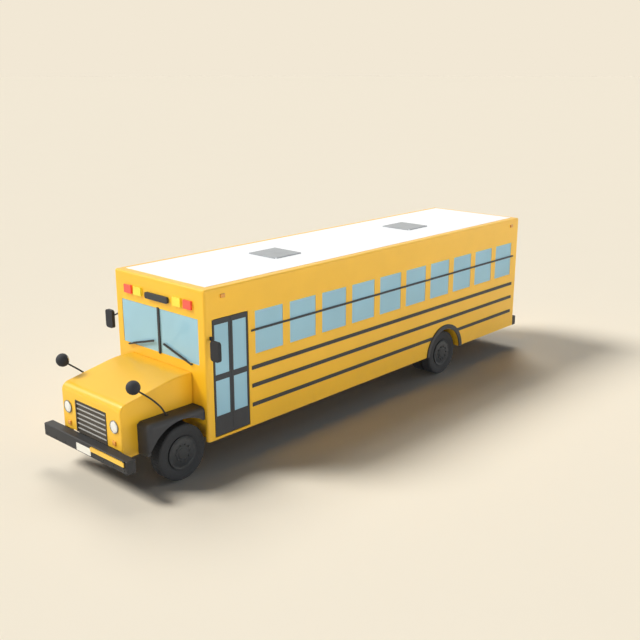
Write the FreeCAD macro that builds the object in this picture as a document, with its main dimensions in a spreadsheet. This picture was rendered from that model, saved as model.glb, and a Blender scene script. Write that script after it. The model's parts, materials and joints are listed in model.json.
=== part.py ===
"""School bus with a bonnet, as an assembly of its real panels, frame, axles, wheels, doors and lids.

Millimetres. X runs across, and +X is the side of the entrance door. The front faces -Y and +Z is up.
The origin lies on the ground, in the middle of the width and of the length.
Lengths along the bus are worked out from the outer face of the front wall.
"""
import FreeCAD
import Part
import math
import os
import re

import Sketcher

doc = FreeCAD.newDocument("school_bus")

# Driving sizes: alias, value in millimetres or degrees, meaning
SIZES = [
    ("body_width", 2440, "outer width of the bus body"),
    ("body_length", 9693, "front wall to rear wall, outside"),
    ("body_bottom", 524, "lower edge of the side panels"),
    ("body_top", 3153, "top of the roof shell"),
    ("side_wall", 45, "thickness of a side wall"),
    ("end_wall", 60, "thickness of the front and the rear wall"),
    ("roof_wall", 60, "thickness of the roof shell"),
    ("roof_round", 40, "rounding along the roof's outer edges"),
    ("corner_round", 44, "rounding of the upright corners of the body"),
    ("skin_inset", 150, "yellow rim round the white roof panel"),
    ("skin_wall", 8, "thickness of the white roof panel"),
    ("floor_top", 1100, "walking surface of the floor"),
    ("floor_wall", 40, "thickness of the floor plate"),
    ("bearer_depth", 80, "depth of the cross bearers under the floor"),
    ("bearer_width", 60, "width of a cross bearer"),
    ("bearer_pitch", 848, "step from bearer to bearer"),
    ("bearer_first", 1018, "first cross bearer behind the front wall"),
    ("window_first", 1105, "front edge of the first passenger window"),
    ("window_pitch", 848, "step from window to window"),
    ("window_width", 674, "width of a side window"),
    ("window_high", 762, "height of the side windows"),
    ("window_drop", 559, "side windows' upper edge below the roof's top"),
    ("glass_wall", 8, "thickness of all window glass"),
    ("glass_inset", 8, "glass face behind the outer skin"),
    ("shield_margin", 178, "windshield's outer edge inside the body's side"),
    ("shield_high", 789, "height of the windshield"),
    ("shield_drop", 515, "windshield's upper edge below the roof's top"),
    ("post_half", 25, "half width of the windshield's centre post"),
    ("post_proud", 14, "how far the centre post stands out"),
    ("post_over", 16, "how far the post runs past the glass"),
    ("sign_half", 310, "half width of the dark bar above the windshield"),
    ("sign_high", 111, "height of the dark bar"),
    ("sign_drop", 270, "dark bar's upper edge below the roof's top"),
    ("sign_proud", 45, "how far that bar stands out"),
    ("lamp_high", 150, "height of the warning lamps"),
    ("lamp_drop", 228, "warning lamps' upper edge below the roof's top"),
    ("lamp_proud", 35, "how far the warning lamps stand out"),
    ("red_width", 200, "width of a red lamp"),
    ("red_margin", 305, "red lamp's outer edge inside the body's side"),
    ("amber_width", 205, "width of an amber lamp"),
    ("lamp_gap", 75, "gap between a red and an amber lamp"),
    ("marker_wide", 90, "width of a side marker lamp"),
    ("marker_high", 60, "height of a side marker lamp"),
    ("marker_drop", 153, "side marker lamps below the roof's top"),
    ("marker_front", 383, "front side marker from the front wall"),
    ("marker_rear_in", 347, "rear side marker ahead of the rear wall"),
    ("marker_proud", 24, "how far a side marker stands out"),
    ("tail_drop", 452, "tail lamps below the windows"),
    ("tail_margin", 320, "tail lamp's middle inside the body's side"),
    ("tail_radius", 85, "radius of a tail lamp"),
    ("turn_drop", 212, "rear turn lamps below the windows"),
    ("rail_start", 1008, "front end of the rub rails"),
    ("rail_end_in", 196, "rear end of the rub rails ahead of the rear wall"),
    ("rail_high", 68, "height of a rub rail"),
    ("rail_proud", 15, "how far a rub rail stands out"),
    ("rail_upper_drop", 236, "upper rub rail below the windows"),
    ("rail_middle_drop", 562, "middle rub rail below the windows"),
    ("rail_lower_up", 397, "lower rub rail above the body's lower edge"),
    ("guard_drop", 328, "thin rail below the windows' upper edge"),
    ("guard_high", 36, "height of the thin rail across the windows"),
    ("tyre_radius", 480, "outer radius of a tyre"),
    ("tyre_width", 250, "width of a tyre"),
    ("tyre_bevel", 25, "shoulder bevel of a tyre"),
    ("rim_radius", 286, "bead radius of a rim"),
    ("rim_wall", 18, "wall of a rim barrel"),
    ("rim_inset", 8, "rim face behind the tyre's side"),
    ("disc_wall", 30, "thickness of a wheel disc"),
    ("hub_radius", 105, "radius of a wheel hub"),
    ("front_track_in", 90, "front tyre's outer side inside the body's side"),
    ("rear_track_in", 60, "outer rear tyre's side inside the body's side"),
    ("twin_gap", 50, "gap between the rear twin tyres"),
    ("front_axle_at", 487, "front axle ahead of the front wall"),
    ("rear_overhang", 2893, "rear axle ahead of the rear wall's outer face"),
    ("pin_play", 0.4, "radial play of every pin in its bore"),
    ("rear_arch", 560, "radius of the rear wheel opening"),
    ("arch_wall", 15, "wall of the inner wheel housings"),
    ("arch_depth", 575, "depth of a rear wheel housing"),
    ("flare_radius", 655, "outer radius of the rear wheel flare"),
    ("flare_proud", 25, "how far the flare stands out"),
    ("pocket_radius", 600, "radius of the front wheel pocket in the front wall"),
    ("pocket_inner", 560, "inner side of that pocket from the middle"),
    ("pocket_margin", 70, "outer side of that pocket inside the body's side"),
    ("king_pin_in", 280, "king pin inside the front tyre's outer side"),
    ("king_radius", 22, "radius of a king pin"),
    ("boss_radius", 45, "radius of the axle's end boss"),
    ("boss_half", 40, "half height of the axle's end boss"),
    ("ear_radius", 55, "radius of a knuckle's ears"),
    ("ear_wall", 34, "thickness of a knuckle's ears"),
    ("knuckle_gap", 5, "gap between boss and ears"),
    ("spindle_radius", 38, "radius of the front spindle"),
    ("beam_width", 90, "width of the front axle beam"),
    ("beam_depth", 104, "depth of the front axle beam"),
    ("frame_clear", 145, "gap between a frame rail and the rear tyres"),
    ("frame_flange", 70, "flange of a frame rail"),
    ("frame_web", 10, "web of a frame rail"),
    ("frame_bottom", 600, "underside of the frame rails"),
    ("frame_top", 800, "top of the frame rails"),
    ("member_first", 250, "first cross member behind the front wall"),
    ("member_pitch", 1450, "step from cross member to cross member"),
    ("horn_bottom", 560, "underside of the front frame horns"),
    ("horn_top", 670, "top of the front frame horns"),
    ("horn_end", 1100, "rear end of the horns ahead of the front wall"),
    ("nose_length", 1455, "front face of the hood ahead of the front wall"),
    ("hood_margin", 380, "hood's side inside the body's side"),
    ("hood_wall", 25, "thickness of the hood's panels"),
    ("hood_round", 145, "rounding of the hood's front top edge"),
    ("hood_edge", 28, "rounding of the hood's long edges"),
    ("hood_crown", 1900, "radius where the hood's top levels out"),
    ("hood_front_top", 1474, "height of the sloping top line at the front face"),
    ("hood_bend", 350, "where the top line levels out, ahead of the wall"),
    ("hood_rear_top", 1686, "height of the hood at the front wall"),
    ("hood_gap", 12, "gap between the hood and the front wall"),
    ("nose_bottom", 720, "lower edge of the nose behind the bumper"),
    ("skirt_bottom", 587, "lower edge of the hood's sides ahead of the fenders"),
    ("fender_front", 1155, "front face of the fenders ahead of the wall"),
    ("fender_margin", 70, "fenders' outer side inside the body's side"),
    ("fender_top", 1145, "top of the fenders"),
    ("fender_bottom", 610, "lower edge of the fenders' front leg"),
    ("fender_rear_bottom", 930, "lower edge of the fenders' rear leg"),
    ("fender_wall", 32, "thickness of the fenders"),
    ("fender_round", 85, "rounding of the fenders' outer edges"),
    ("fender_arch", 728, "radius of the fender's wheel arch"),
    ("arch_level", 345, "height of the fender arch's centre"),
    ("grille_margin", 400, "grille's edge inside the hood's side"),
    ("grille_bottom", 720, "lower edge of the grille"),
    ("grille_top", 1280, "upper edge of the grille"),
    ("grille_rim", 22, "width of the grille's dark rim"),
    ("slat_count", 6, "number of slats"),
    ("slat_high", 24, "height of a slat"),
    ("headlamp_margin", 179, "headlamp's middle inside the hood's side"),
    ("headlamp_level", 1102, "height of the headlamps"),
    ("headlamp_radius", 110, "radius of a headlamp"),
    ("headlamp_proud", 26, "how far a headlamp stands out"),
    ("indicator_margin", 200, "indicator's middle inside the hood's side"),
    ("indicator_level", 822, "height of the indicators"),
    ("indicator_wide", 72, "width of an indicator"),
    ("indicator_high", 70, "height of an indicator"),
    ("indicator_proud", 20, "how far an indicator stands out"),
    ("ball_radius", 117, "radius of a crossover mirror"),
    ("ball_out", 158, "crossover mirror outside the hood's side"),
    ("ball_ahead", 1293, "crossover mirror ahead of the front wall"),
    ("ball_level", 1803, "height of the crossover mirrors"),
    ("foot_out", 110, "foot of a crossover mirror arm outside the hood's side"),
    ("foot_ahead", 650, "foot of a crossover mirror arm ahead of the wall"),
    ("arm_radius", 14, "radius of the mirror arms"),
    ("arm_lean", 110, "how far ahead of its foot a crossover mirror arm bends"),
    ("arm_rise", 180, "how far above the fender it bends"),
    ("wiper_long", 755, "length of a wiper"),
    ("wiper_high", 26, "height of a wiper's blade"),
    ("wiper_deep", 14, "depth of a wiper's blade"),
    ("mirror_out", 134, "side mirror head outside the body's side"),
    ("mirror_wide", 207, "width of a side mirror head"),
    ("mirror_high", 335, "height of a side mirror head"),
    ("mirror_drop", 293, "side mirror head below the windshield's upper edge"),
    ("mirror_ahead", -10, "middle of a mirror head ahead of the wall"),
    ("mirror_deep", 60, "depth of a side mirror head"),
    ("mirror_root", 105, "side mirror arm's root behind the front wall"),
    ("mirror_round", 50, "rounding of a side mirror head"),
    ("hood_pivot_in", 75, "hood pivot behind the hood's front face"),
    ("hood_pivot_level", 800, "height of the hood pivot"),
    ("pivot_radius", 12, "radius of the hood's pivot pins"),
    ("bumper_gap", 12, "gap between the nose and the bumper"),
    ("bumper_deep", 165, "depth of the front bumper"),
    ("bumper_margin", 25, "front bumper's end inside the body's side"),
    ("bumper_bottom", 490, "underside of the front bumper"),
    ("bumper_top", 715, "top of the front bumper"),
    ("bumper_round", 12, "rounding of the bumpers' edges"),
    ("tow_radius", 22, "radius of a tow eye's bore"),
    ("tow_drop", 36, "tow eye bore below the frame or the body"),
    ("tow_wall", 25, "thickness of a tow eye"),
    ("rear_bumper_gap", 20, "rear bumper behind the rear wall"),
    ("rear_bumper_deep", 130, "depth of the rear bumper"),
    ("rear_bumper_margin", 20, "rear bumper's end inside the body's side"),
    ("plate_half", 205, "half width of the blank number plate"),
    ("plate_bottom", 515, "lower edge of the number plate"),
    ("plate_top", 645, "upper edge of the number plate"),
    ("plate_wall", 6, "thickness of the number plate"),
    ("crossing_gap", 6, "gap between the bumper and the crossing arm"),
    ("crossing_deep", 22, "depth of the crossing arm"),
    ("crossing_free", 20, "gap between the crossing arm's free end and the plate"),
    ("crossing_margin", 65, "hinge of the crossing arm inside the bumper's end"),
    ("crossing_bottom", 622, "lower edge of the crossing arm"),
    ("crossing_top", 697, "upper edge of the crossing arm"),
    ("door_front", 159, "front edge of the front door leaf"),
    ("door_rear", 933, "rear edge of the rear door leaf"),
    ("door_split", 6, "gap between the two door leaves"),
    ("door_sill", 58, "door leaves above the body's lower edge"),
    ("door_drop", 531, "door leaves' upper edge below the roof's top"),
    ("door_wall", 36, "thickness of a door leaf"),
    ("door_jamb_gap", 15, "gap beside a door leaf's hinge edge"),
    ("door_gap", 12, "gap above and below a door leaf"),
    ("door_stile", 34, "outer stile of a door leaf"),
    ("door_middle_stile", 42, "stile beside the gap of the leaves"),
    ("door_rail", 89, "top rail of a door leaf"),
    ("door_bar_top", 1665, "upper edge of the door's middle bar"),
    ("door_bar_bottom", 1565, "lower edge of the door's middle bar"),
    ("door_kick", 935, "upper edge of the door's kick panel"),
    ("door_pin_in", 14, "door pin from the leaf's hinge edge"),
    ("door_pin", 8, "radius of a door pin"),
    ("door_pin_deep", 30, "depth of a door pin in its leaf"),
    ("door_panel_end", 975, "rear edge of the panel round the entrance"),
    ("well_deep", 620, "step well's inner side inside the body's side"),
    ("step_level", 850, "height of the middle step"),
    ("step_deep", 340, "middle step's edge inside the body's side"),
    ("step_low", 610, "top of the lowest step"),
    ("step_wall", 22, "thickness of the step plates"),
    ("step_gap", 10, "lowest step's edge inside the side wall"),
    ("rear_door_half", 440, "half width of the rear door opening"),
    ("rear_door_bottom", 960, "lower edge of the rear door opening"),
    ("rear_door_drop", 453, "rear door opening's upper edge below the roof's top"),
    ("rear_door_gap", 6, "gap round the rear door"),
    ("rear_door_glass_half", 300, "half width of the rear door's windows"),
    ("rear_door_hinge_out", 14, "rear door hinge axis behind the wall"),
    ("rear_door_pin", 8, "radius of the rear door's hinge pins"),
    ("rear_door_barrel", 13.5, "radius of the rear door's hinge barrels"),
    ("hatch_wide", 710, "width of a roof hatch lid"),
    ("hatch_long", 700, "length of a roof hatch lid"),
    ("hatch_wall", 20, "thickness of a roof hatch lid"),
    ("hatch_front_at", 2800, "middle of the front hatch"),
    ("hatch_rear_in", 2833, "middle of the rear hatch ahead of the rear wall"),
    ("hatch_rim", 55, "overlap of a lid on its opening"),
    ("rest_gap", 0.4, "gap between a closed lid and its seat"),
    ("hatch_pin", 5, "radius of a hatch pin"),
    ("stop_size", 457, "width of the octagon across its flats"),
    ("stop_wall", 12, "thickness of the octagon"),
    ("stop_hinge", 320, "stop arm hinge behind the front wall"),
    ("stop_drop", 272, "stop arm's middle below the windows"),
    ("stop_gap", 26, "stop arm's axis outside the side wall"),
    ("bench_first", 1330, "front edge of the first row"),
    ("bench_pitch", 736, "step from row to row"),
    ("aisle_half", 185, "half width of the aisle"),
    ("bench_margin", 55, "window side of a bench inside the body's side"),
    ("bench_deep", 430, "depth of a seat cushion"),
    ("bench_high", 430, "height of a seat cushion above the floor"),
    ("bench_cushion", 120, "thickness of a seat cushion"),
    ("leg_inset", 60, "bench legs inside the cushion's edges"),
    ("leg_wall", 40, "thickness of a bench leg"),
    ("bench_back", 90, "thickness of a seat back"),
    ("bench_back_high", 1040, "height of a seat back above the floor"),
    ("bench_rear", 120, "least room behind the last bench"),
    ("bench_lean", 60, "how far a seat back leans"),
    ("driver_seat", 480, "width of the driver's seat"),
    ("driver_seat_at", 760, "front edge of the driver's seat"),
    ("dash_deep", 300, "depth of the dashboard"),
    ("dash_share", 0.6667, "dashboard's underside, as a share of its top's height above the floor"),
    ("dash_drop", 59, "dashboard's top below the windshield"),
    ("wheel_in", 580, "steering wheel's middle inside the body's side"),
    ("wheel_radius", 225, "radius of the steering wheel"),
    ("wheel_grip", 28, "thickness of the steering wheel's rim"),
    ("column_long", 330, "length of the steering column"),
    ("engine_in", 155, "engine block's side inside the frame rails' outer side"),
    ("engine_front", 1150, "front of the engine ahead of the front wall"),
    ("engine_rear", 130, "rear of the engine ahead of the front wall"),
    ("engine_top", 1330, "top of the engine"),
    ("gearbox_over", 15, "how much wider than half the engine the gearbox is"),
    ("gearbox_end", 480, "rear of the gearbox behind the front wall"),
    ("shaft_radius", 45, "radius of the drive shaft"),
    ("shaft_level", 530, "height of the drive shaft"),
    ("spring_half", 38, "half width of a leaf spring"),
    ("spring_gap", 2, "gap between a spring and the rail's web"),
    ("spring_leaf", 14, "thickness of one leaf"),
    ("spring_leaves", 4, "leaves in a spring"),
    ("spring_long", 1300, "length of the longest leaf"),
    ("tank_front", 3000, "front of the fuel tank"),
    ("tank_rear", 4250, "rear of the fuel tank"),
    ("tank_margin", 140, "fuel tank's outer side inside the body's side"),
    ("tank_bottom", 560, "underside of the fuel tank"),
    ("tank_top", 950, "top of the fuel tank"),
    ("pipe_radius", 50, "radius of the exhaust pipe"),
    ("pipe_front", 1120, "front end of the pipe behind the front wall"),
    ("pipe_elbow", 1150, "pipe's elbow ahead of the rear axle"),
    ("muffler_front", 2500, "front end of the muffler behind the front wall"),
    ("muffler_long", 1200, "length of the muffler"),
    ("muffler_radius", 125, "radius of the muffler"),
    ("pipe_at", 660, "exhaust pipe from the middle"),
    ("pipe_level", 780, "height of the exhaust pipe"),
]
SIZE = {alias: float(value) for alias, value, _ in SIZES}

# Places that follow the driving sizes
HALF = "(body_width / 2)"
PLACES = {
    "shield_half": "body_width / 2 - shield_margin",
    "red_outer": "body_width / 2 - red_margin",
    "red_inner": "body_width / 2 - red_margin - red_width",
    "amber_outer": "body_width / 2 - red_margin - red_width - lamp_gap",
    "amber_inner": "body_width / 2 - red_margin - red_width - lamp_gap - amber_width",
    "tail_middle": "body_width / 2 - tail_margin",
    "front_track": "body_width / 2 - front_track_in",
    "rear_track": "body_width / 2 - rear_track_in",
    "frame_outer": "body_width / 2 - rear_track_in - 2 * tyre_width - twin_gap - frame_clear",
    "engine_half": "frame_outer - engine_in",
    "gearbox_half": "engine_half / 2 + gearbox_over",
    "hood_pivot_ahead": "nose_length - hood_pivot_in",
    "king_pin": "body_width / 2 - front_track_in - king_pin_in",
    "pocket_outer": "body_width / 2 - pocket_margin",
    "tunnel_half": "pocket_inner - arch_wall",
    "hood_half": "body_width / 2 - hood_margin",
    "fender_outer": "body_width / 2 - fender_margin",
    "grille_half": "body_width / 2 - hood_margin - grille_margin",
    "headlamp_at": "body_width / 2 - hood_margin - headlamp_margin",
    "indicator_at": "body_width / 2 - hood_margin - indicator_margin",
    "ball_at": "body_width / 2 - hood_margin + ball_out",
    "foot_at": "body_width / 2 - hood_margin + foot_out",
    "mirror_inner": "body_width / 2 + mirror_out",
    "mirror_outer": "body_width / 2 + mirror_out + mirror_wide",
    "bumper_half": "body_width / 2 - bumper_margin",
    "rear_bumper_half": "body_width / 2 - rear_bumper_margin",
    "crossing_inner": "plate_half + crossing_free",
    "crossing_pivot": "body_width / 2 - bumper_margin - crossing_margin",
    "well_inner": "body_width / 2 - well_deep",
    "step_edge": "body_width / 2 - step_deep",
    "bench_outer": "body_width / 2 - bench_margin",
    "wheel_at": "body_width / 2 - wheel_in",
    "tank_outer": "body_width / 2 - tank_margin",
    "window_top": "body_top - window_drop",
    "window_bottom": "body_top - window_drop - window_high",
    "shield_top": "body_top - shield_drop",
    "shield_bottom": "body_top - shield_drop - shield_high",
    "sign_top": "body_top - sign_drop",
    "sign_bottom": "body_top - sign_drop - sign_high",
    "lamp_top": "body_top - lamp_drop",
    "lamp_bottom": "body_top - lamp_drop - lamp_high",
    "marker_level": "body_top - marker_drop",
    "tail_level": "body_top - window_drop - window_high - tail_drop",
    "turn_level": "body_top - window_drop - window_high - turn_drop",
    "rail_upper": "body_top - window_drop - window_high - rail_upper_drop",
    "rail_middle": "body_top - window_drop - window_high - rail_middle_drop",
    "rail_lower": "body_bottom + rail_lower_up",
    "guard_level": "body_top - window_drop - guard_drop",
    "mirror_top": "body_top - shield_drop - mirror_drop",
    "mirror_bottom": "body_top - shield_drop - mirror_drop - mirror_high",
    "door_top": "body_top - door_drop",
    "door_pane_top": "body_top - door_drop - door_rail",
    "door_bottom": "body_bottom + door_sill",
    "rear_door_top": "body_top - rear_door_drop",
    "stop_level": "body_top - window_drop - window_high - stop_drop",
    "dash_top": "body_top - shield_drop - shield_high - dash_drop",
    "dash_bottom": "floor_top + (dash_top - floor_top) * dash_share",
    "rear_axle_at": "body_length - rear_overhang",
    "rail_end": "body_length - rail_end_in",
    "marker_rear": "body_length - marker_rear_in",
    "hatch_rear_at": "body_length - hatch_rear_in",
}

sheet = doc.addObject("Spreadsheet::Sheet", "dims")
for row, (alias, value, meaning) in enumerate(SIZES, start=1):
    sheet.set(f"A{row}", str(value))
    sheet.setAlias(f"A{row}", alias)
    sheet.set(f"B{row}", meaning)

WORD = re.compile(r"[a-z][a-z_0-9]*")
NODES = []


def in_sizes(expression):
    """The expression with every place written out in the driving sizes."""
    text = str(expression)
    while any(word in PLACES for word in WORD.findall(text)):
        text = WORD.sub(lambda match: f"({PLACES[match.group()]})" if match.group() in PLACES else match.group(), text)
    return text


def linked(expression):
    """The expression as the document reads it, with every alias taken from the sheet."""
    return WORD.sub(lambda match: "dims." + match.group(), in_sizes(expression))


def number(expression):
    """The expression's value in millimetres, for what can't be bound to the sheet."""
    text = WORD.sub(lambda match: f"({SIZE[match.group()]:.6f})", in_sizes(expression))
    return FreeCAD.Units.parseQuantity(text).Value


def bind(item, name, expression):
    item.setExpression(name, linked(expression))


def less(low, high):
    return f"({high}) - ({low})"


def minus(expression):
    return f"-({expression})"


# The front wall's outer face lies where the middle of the whole length is the origin.
FRONT_REACH = "(nose_length + bumper_gap + bumper_deep + crossing_gap + crossing_deep)"
REAR_REACH = "(rear_bumper_gap + rear_bumper_deep)"
WALL = f"(({FRONT_REACH} - {REAR_REACH} - body_length) / 2)"


def behind(expression):
    """A place along the bus, measured backwards from the outer face of the front wall."""
    return f"({WALL} + ({expression}))"


def ahead(expression):
    return f"({WALL} - ({expression}))"


INSIDE = "(body_width / 2 - side_wall)"
END = "body_length"


# Building blocks
def box(name, across, along, upward):
    item = doc.addObject("Part::Box", name)
    for prop, axis, (low, high) in zip(("Length", "Width", "Height"), "xyz", (across, along, upward)):
        bind(item, prop, less(low, high))
        bind(item, f"Placement.Base.{axis}", low)
    return item


TURN = {
    "x": FreeCAD.Rotation(FreeCAD.Vector(0, 1, 0), 90),
    "y": FreeCAD.Rotation(FreeCAD.Vector(1, 0, 0), -90),
    "z": FreeCAD.Rotation(),
}


def rod(name, axis, span, centre, radius):
    """A round bar along one axis, with the centre given on the other two axes in order."""
    item = doc.addObject("Part::Cylinder", name)
    item.Placement = FreeCAD.Placement(FreeCAD.Vector(), TURN[axis])
    bind(item, "Radius", radius)
    bind(item, "Height", less(*span))
    places = dict(zip([other for other in "xyz" if other != axis], centre))
    places[axis] = span[0]
    for other, place in places.items():
        bind(item, f"Placement.Base.{other}", place)
    return item


def peg(name, axis, span, centre, radius, sides=12):
    """A bar with flat sides inside a round one, for pins and bars whose roundness doesn't show."""
    item = doc.addObject("Part::Prism", name)
    item.Polygon = sides
    item.Placement = FreeCAD.Placement(FreeCAD.Vector(), TURN[axis])
    bind(item, "Circumradius", radius)
    bind(item, "Height", less(*span))
    places = dict(zip([other for other in "xyz" if other != axis], centre))
    places[axis] = span[0]
    for other, place in places.items():
        bind(item, f"Placement.Base.{other}", place)
    return item


def compound(name, parts):
    item = doc.addObject("Part::Compound", name)
    item.Links = list(parts)
    return item


def fuse(name, parts):
    item = doc.addObject("Part::MultiFuse", name)
    item.Shapes = list(parts)
    item.Refine = True
    return item


def cut(name, base, tools):
    item = doc.addObject("Part::Cut", name)
    item.Base = base
    item.Tool = tools[0] if len(tools) == 1 else fuse(name + "_tool", tools)
    item.Refine = True
    return item


def common(name, base, tool):
    item = doc.addObject("Part::Common", name)
    item.Base = base
    item.Tool = tool
    return item


def mirrored(name, source):
    item = doc.addObject("Part::Mirroring", name)
    item.Source = source
    item.Normal = FreeCAD.Vector(1, 0, 0)
    return item


def repeats(room, pitch):
    """How many copies a pitch apart start within a stretch."""
    return int(number(room) // number(pitch)) + 1


def both_sides(name, source):
    return compound(name, [source, mirrored(name + "_other", source)])


def rounded(name, base, radius, chosen):
    """The base with some edges rounded. chosen says of an edge whether it is one of them."""
    doc.recompute()
    item = doc.addObject("Part::Fillet", name)
    item.Base = base
    size = number(radius)
    item.Edges = [(place, size, size) for place, edge in enumerate(base.Shape.Edges, start=1) if chosen(edge)]
    return item


def bevelled(name, base, size, chosen):
    doc.recompute()
    item = doc.addObject("Part::Chamfer", name)
    item.Base = base
    width = number(size)
    item.Edges = [(place, width, width) for place, edge in enumerate(base.Shape.Edges, start=1) if chosen(edge)]
    return item


def runs_along(edge, axis):
    start, end = edge.Vertexes[0].Point, edge.Vertexes[-1].Point
    return (end - start).cross(axis).Length < 1e-3 and (end - start).Length > 1e-3


X_AXIS = FreeCAD.Vector(1, 0, 0)
Y_AXIS = FreeCAD.Vector(0, 1, 0)
Z_AXIS = FreeCAD.Vector(0, 0, 1)

PLANES = {"z": ("XY_Plane", 1), "y": ("XZ_Plane", -1), "x": ("YZ_Plane", 1)}


def sketch_on(body, name, axis, offset):
    """A sketch square to an axis. Its own directions are the two other axes, in order."""
    role, sign = PLANES[axis]
    plane = next(item for item in body.Origin.OriginFeatures if item.Role == role)
    sketch = body.newObject("Sketcher::SketchObject", name)
    sketch.AttachmentSupport = [(plane, "")]
    sketch.MapMode = "FlatFace"
    bind(sketch, "AttachmentOffset.Base.z", offset if sign > 0 else minus(offset))
    return sketch


def draw_outline(sketch, points):
    """A closed outline of straight lines whose corners are bound to the sheet."""
    places = [FreeCAD.Vector(number(across), number(up), 0) for across, up in points]
    count = len(points)
    for step in range(count):
        sketch.addGeometry(Part.LineSegment(places[step], places[(step + 1) % count]), False)
    for step in range(count):
        sketch.addConstraint(Sketcher.Constraint("Coincident", step, 2, (step + 1) % count, 1))
    for step, (across, up) in enumerate(points):
        for kind, expression, value in (("X", across, places[step].x), ("Y", up, places[step].y)):
            label = f"corner_{kind.lower()}_{step}"
            place = sketch.addConstraint(Sketcher.Constraint("Distance" + kind, -1, 1, step, 1, value))
            sketch.renameConstraint(place, label)
            bind(sketch, f"Constraints.{label}", expression)


def padded_outline(name, axis, span, points):
    """A body made from an outline square to an axis, padded over a span of that axis."""
    body = doc.addObject("PartDesign::Body", name)
    low, high = span
    sketch = sketch_on(body, name + "_outline", axis, low if PLANES[axis][1] > 0 else high)
    draw_outline(sketch, points)
    pad = body.newObject("PartDesign::Pad", name + "_pad")
    pad.Profile = sketch
    bind(pad, "Length", less(low, high))
    body.Tip = pad
    return body


def round_body(body, radius, chosen):
    """A fillet added to a body, on the edges that are chosen."""
    doc.recompute()
    base = body.Tip
    names = [f"Edge{place}" for place, edge in enumerate(base.Shape.Edges, start=1) if chosen(edge)]
    fillet = body.newObject("PartDesign::Fillet", body.Name + "_round")
    fillet.Base = (base, names)
    bind(fillet, "Radius", radius)
    body.Tip = fillet
    return fillet


def bevel_body(body, size, chosen):
    """A flat bevel added to a body, on the edges that are chosen."""
    doc.recompute()
    base = body.Tip
    names = [f"Edge{place}" for place, edge in enumerate(base.Shape.Edges, start=1) if chosen(edge)]
    bevel = body.newObject("PartDesign::Chamfer", body.Name + "_bevel")
    bevel.Base = (base, names)
    bind(bevel, "Size", size)
    body.Tip = bevel
    return bevel


def bent_line(corners, size, chords=4):
    """The points of a line whose corners are rounded off in a few chords."""
    line = [corners[0]]
    for before, corner, after in zip(corners, corners[1:], corners[2:]):
        back = (before - corner).normalize()
        onward = (after - corner).normalize()
        half = back.getAngle(onward) / 2
        centre = corner + (back + onward).normalize() * (size / math.sin(half))
        first = corner + back * (size / math.tan(half)) - centre
        normal = back.cross(onward).normalize() * -1
        for step in range(chords + 1):
            turn = FreeCAD.Rotation(normal, (180 - math.degrees(2 * half)) * step / chords)
            line.append(centre + turn.multVec(first))
    line.append(corners[-1])
    return line


def through_rings(name, rings):
    """A solid of plane facets through rings of points, closed at both ends."""
    sides = range(len(rings[0]))
    faces = [Part.Face(Part.makePolygon(ring + ring[:1])) for ring in (rings[0], rings[-1])]
    for ring, onward in zip(rings, rings[1:]):
        for side in sides:
            other = (side + 1) % len(sides)
            corners = [ring[side], ring[other], onward[other], onward[side], ring[side]]
            faces.append(Part.Face(Part.makePolygon(corners)))
    item = doc.addObject("Part::Feature", name)
    item.Shape = Part.Solid(Part.makeShell(faces))
    if item.Shape.Volume < 0:
        item.Shape = item.Shape.reversed()
    return item


def bent_tube(name, points, radius, bend, sides=10):
    """A flat-sided tube through points, mitred where it turns, so that each side stays plane."""
    line = bent_line([FreeCAD.Vector(*(number(part) for part in point)) for point in points], number(bend))
    ways = [(after - before).normalize() for before, after in zip(line, line[1:])]
    start = ways[0].cross(FreeCAD.Vector(0.3, 0.5, 0.8)).normalize() * number(radius)
    rings = [[line[0] + FreeCAD.Rotation(ways[0], 360 * side / sides).multVec(start) for side in range(sides)]]
    for place, way in enumerate(ways):
        last = place + 1 == len(ways)
        square = way if last else (way + ways[place + 1]).normalize()
        rings.append([point + way * ((line[place + 1] - point).dot(square) / way.dot(square)) for point in rings[-1]])
    return through_rings(name, rings)


def ring_solid(name, centre, way, sides, sections):
    """A round form of plane facets, with sections given as (place along the way, radius)."""
    middle = FreeCAD.Vector(*(number(place) for place in centre))
    arm = way.cross(Z_AXIS).normalize()
    rings = []
    for place, radius in sections:
        hub = middle + way * number(place)
        rings.append([hub + FreeCAD.Rotation(way, 360 * side / sides).multVec(arm) * number(radius)
                      for side in range(sides)])
    return through_rings(name, rings)


def node(label, item):
    """Name a finished sub-part. Its label is the name of its file."""
    item.Label = label
    NODES.append(item)
    return item


# Frame and running gear
FRONT_AXLE = ahead("front_axle_at")
SPRING_SEAT = "(frame_bottom - spring_leaves * spring_leaf)"
TYRE_FACETS = 48
RIM_FACETS = 24
HUB_FACETS = 12
BALL_FACETS = 16
LAMP_FACETS = 24
MEMBER_BOTTOM = "(frame_bottom + 60)"
AXLE_TUBE = f"({SPRING_SEAT} - tyre_radius)"
REAR_AXLE = behind("rear_axle_at")
REAR_FRAME_END = behind("body_length - end_wall")
BUMPER_BACK = "nose_length + bumper_gap"


def channel(name, span, bottom, top):
    """One frame rail: a channel that opens towards the middle of the bus."""
    inner = "(frame_outer - frame_flange)"
    return padded_outline(name, "y", span, [
        ("frame_outer", bottom), ("frame_outer", top), (inner, top), (inner, f"{top} - frame_web"),
        ("frame_outer - frame_web", f"{top} - frame_web"),
        ("frame_outer - frame_web", f"{bottom} + frame_web"),
        (inner, f"{bottom} + frame_web"), (inner, bottom),
    ])


def tow_eye(name, at, top, level):
    """A plate with a cross bore at a level, hung under a frame rail."""
    across = ("frame_outer - tow_wall", "frame_outer")
    plate = box(name, across, (behind(f"{at} - 45"), behind(f"{at} + 45")),
                (f"{level} - 2 * tow_radius", f"{top} + frame_web"))
    bore = rod(name + "_bore", "x", (f"{across[0]} - 5", f"{across[1]} + 5"), (behind(at), level), "tow_radius")
    return cut(name + "_eye", plate, [bore])


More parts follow.
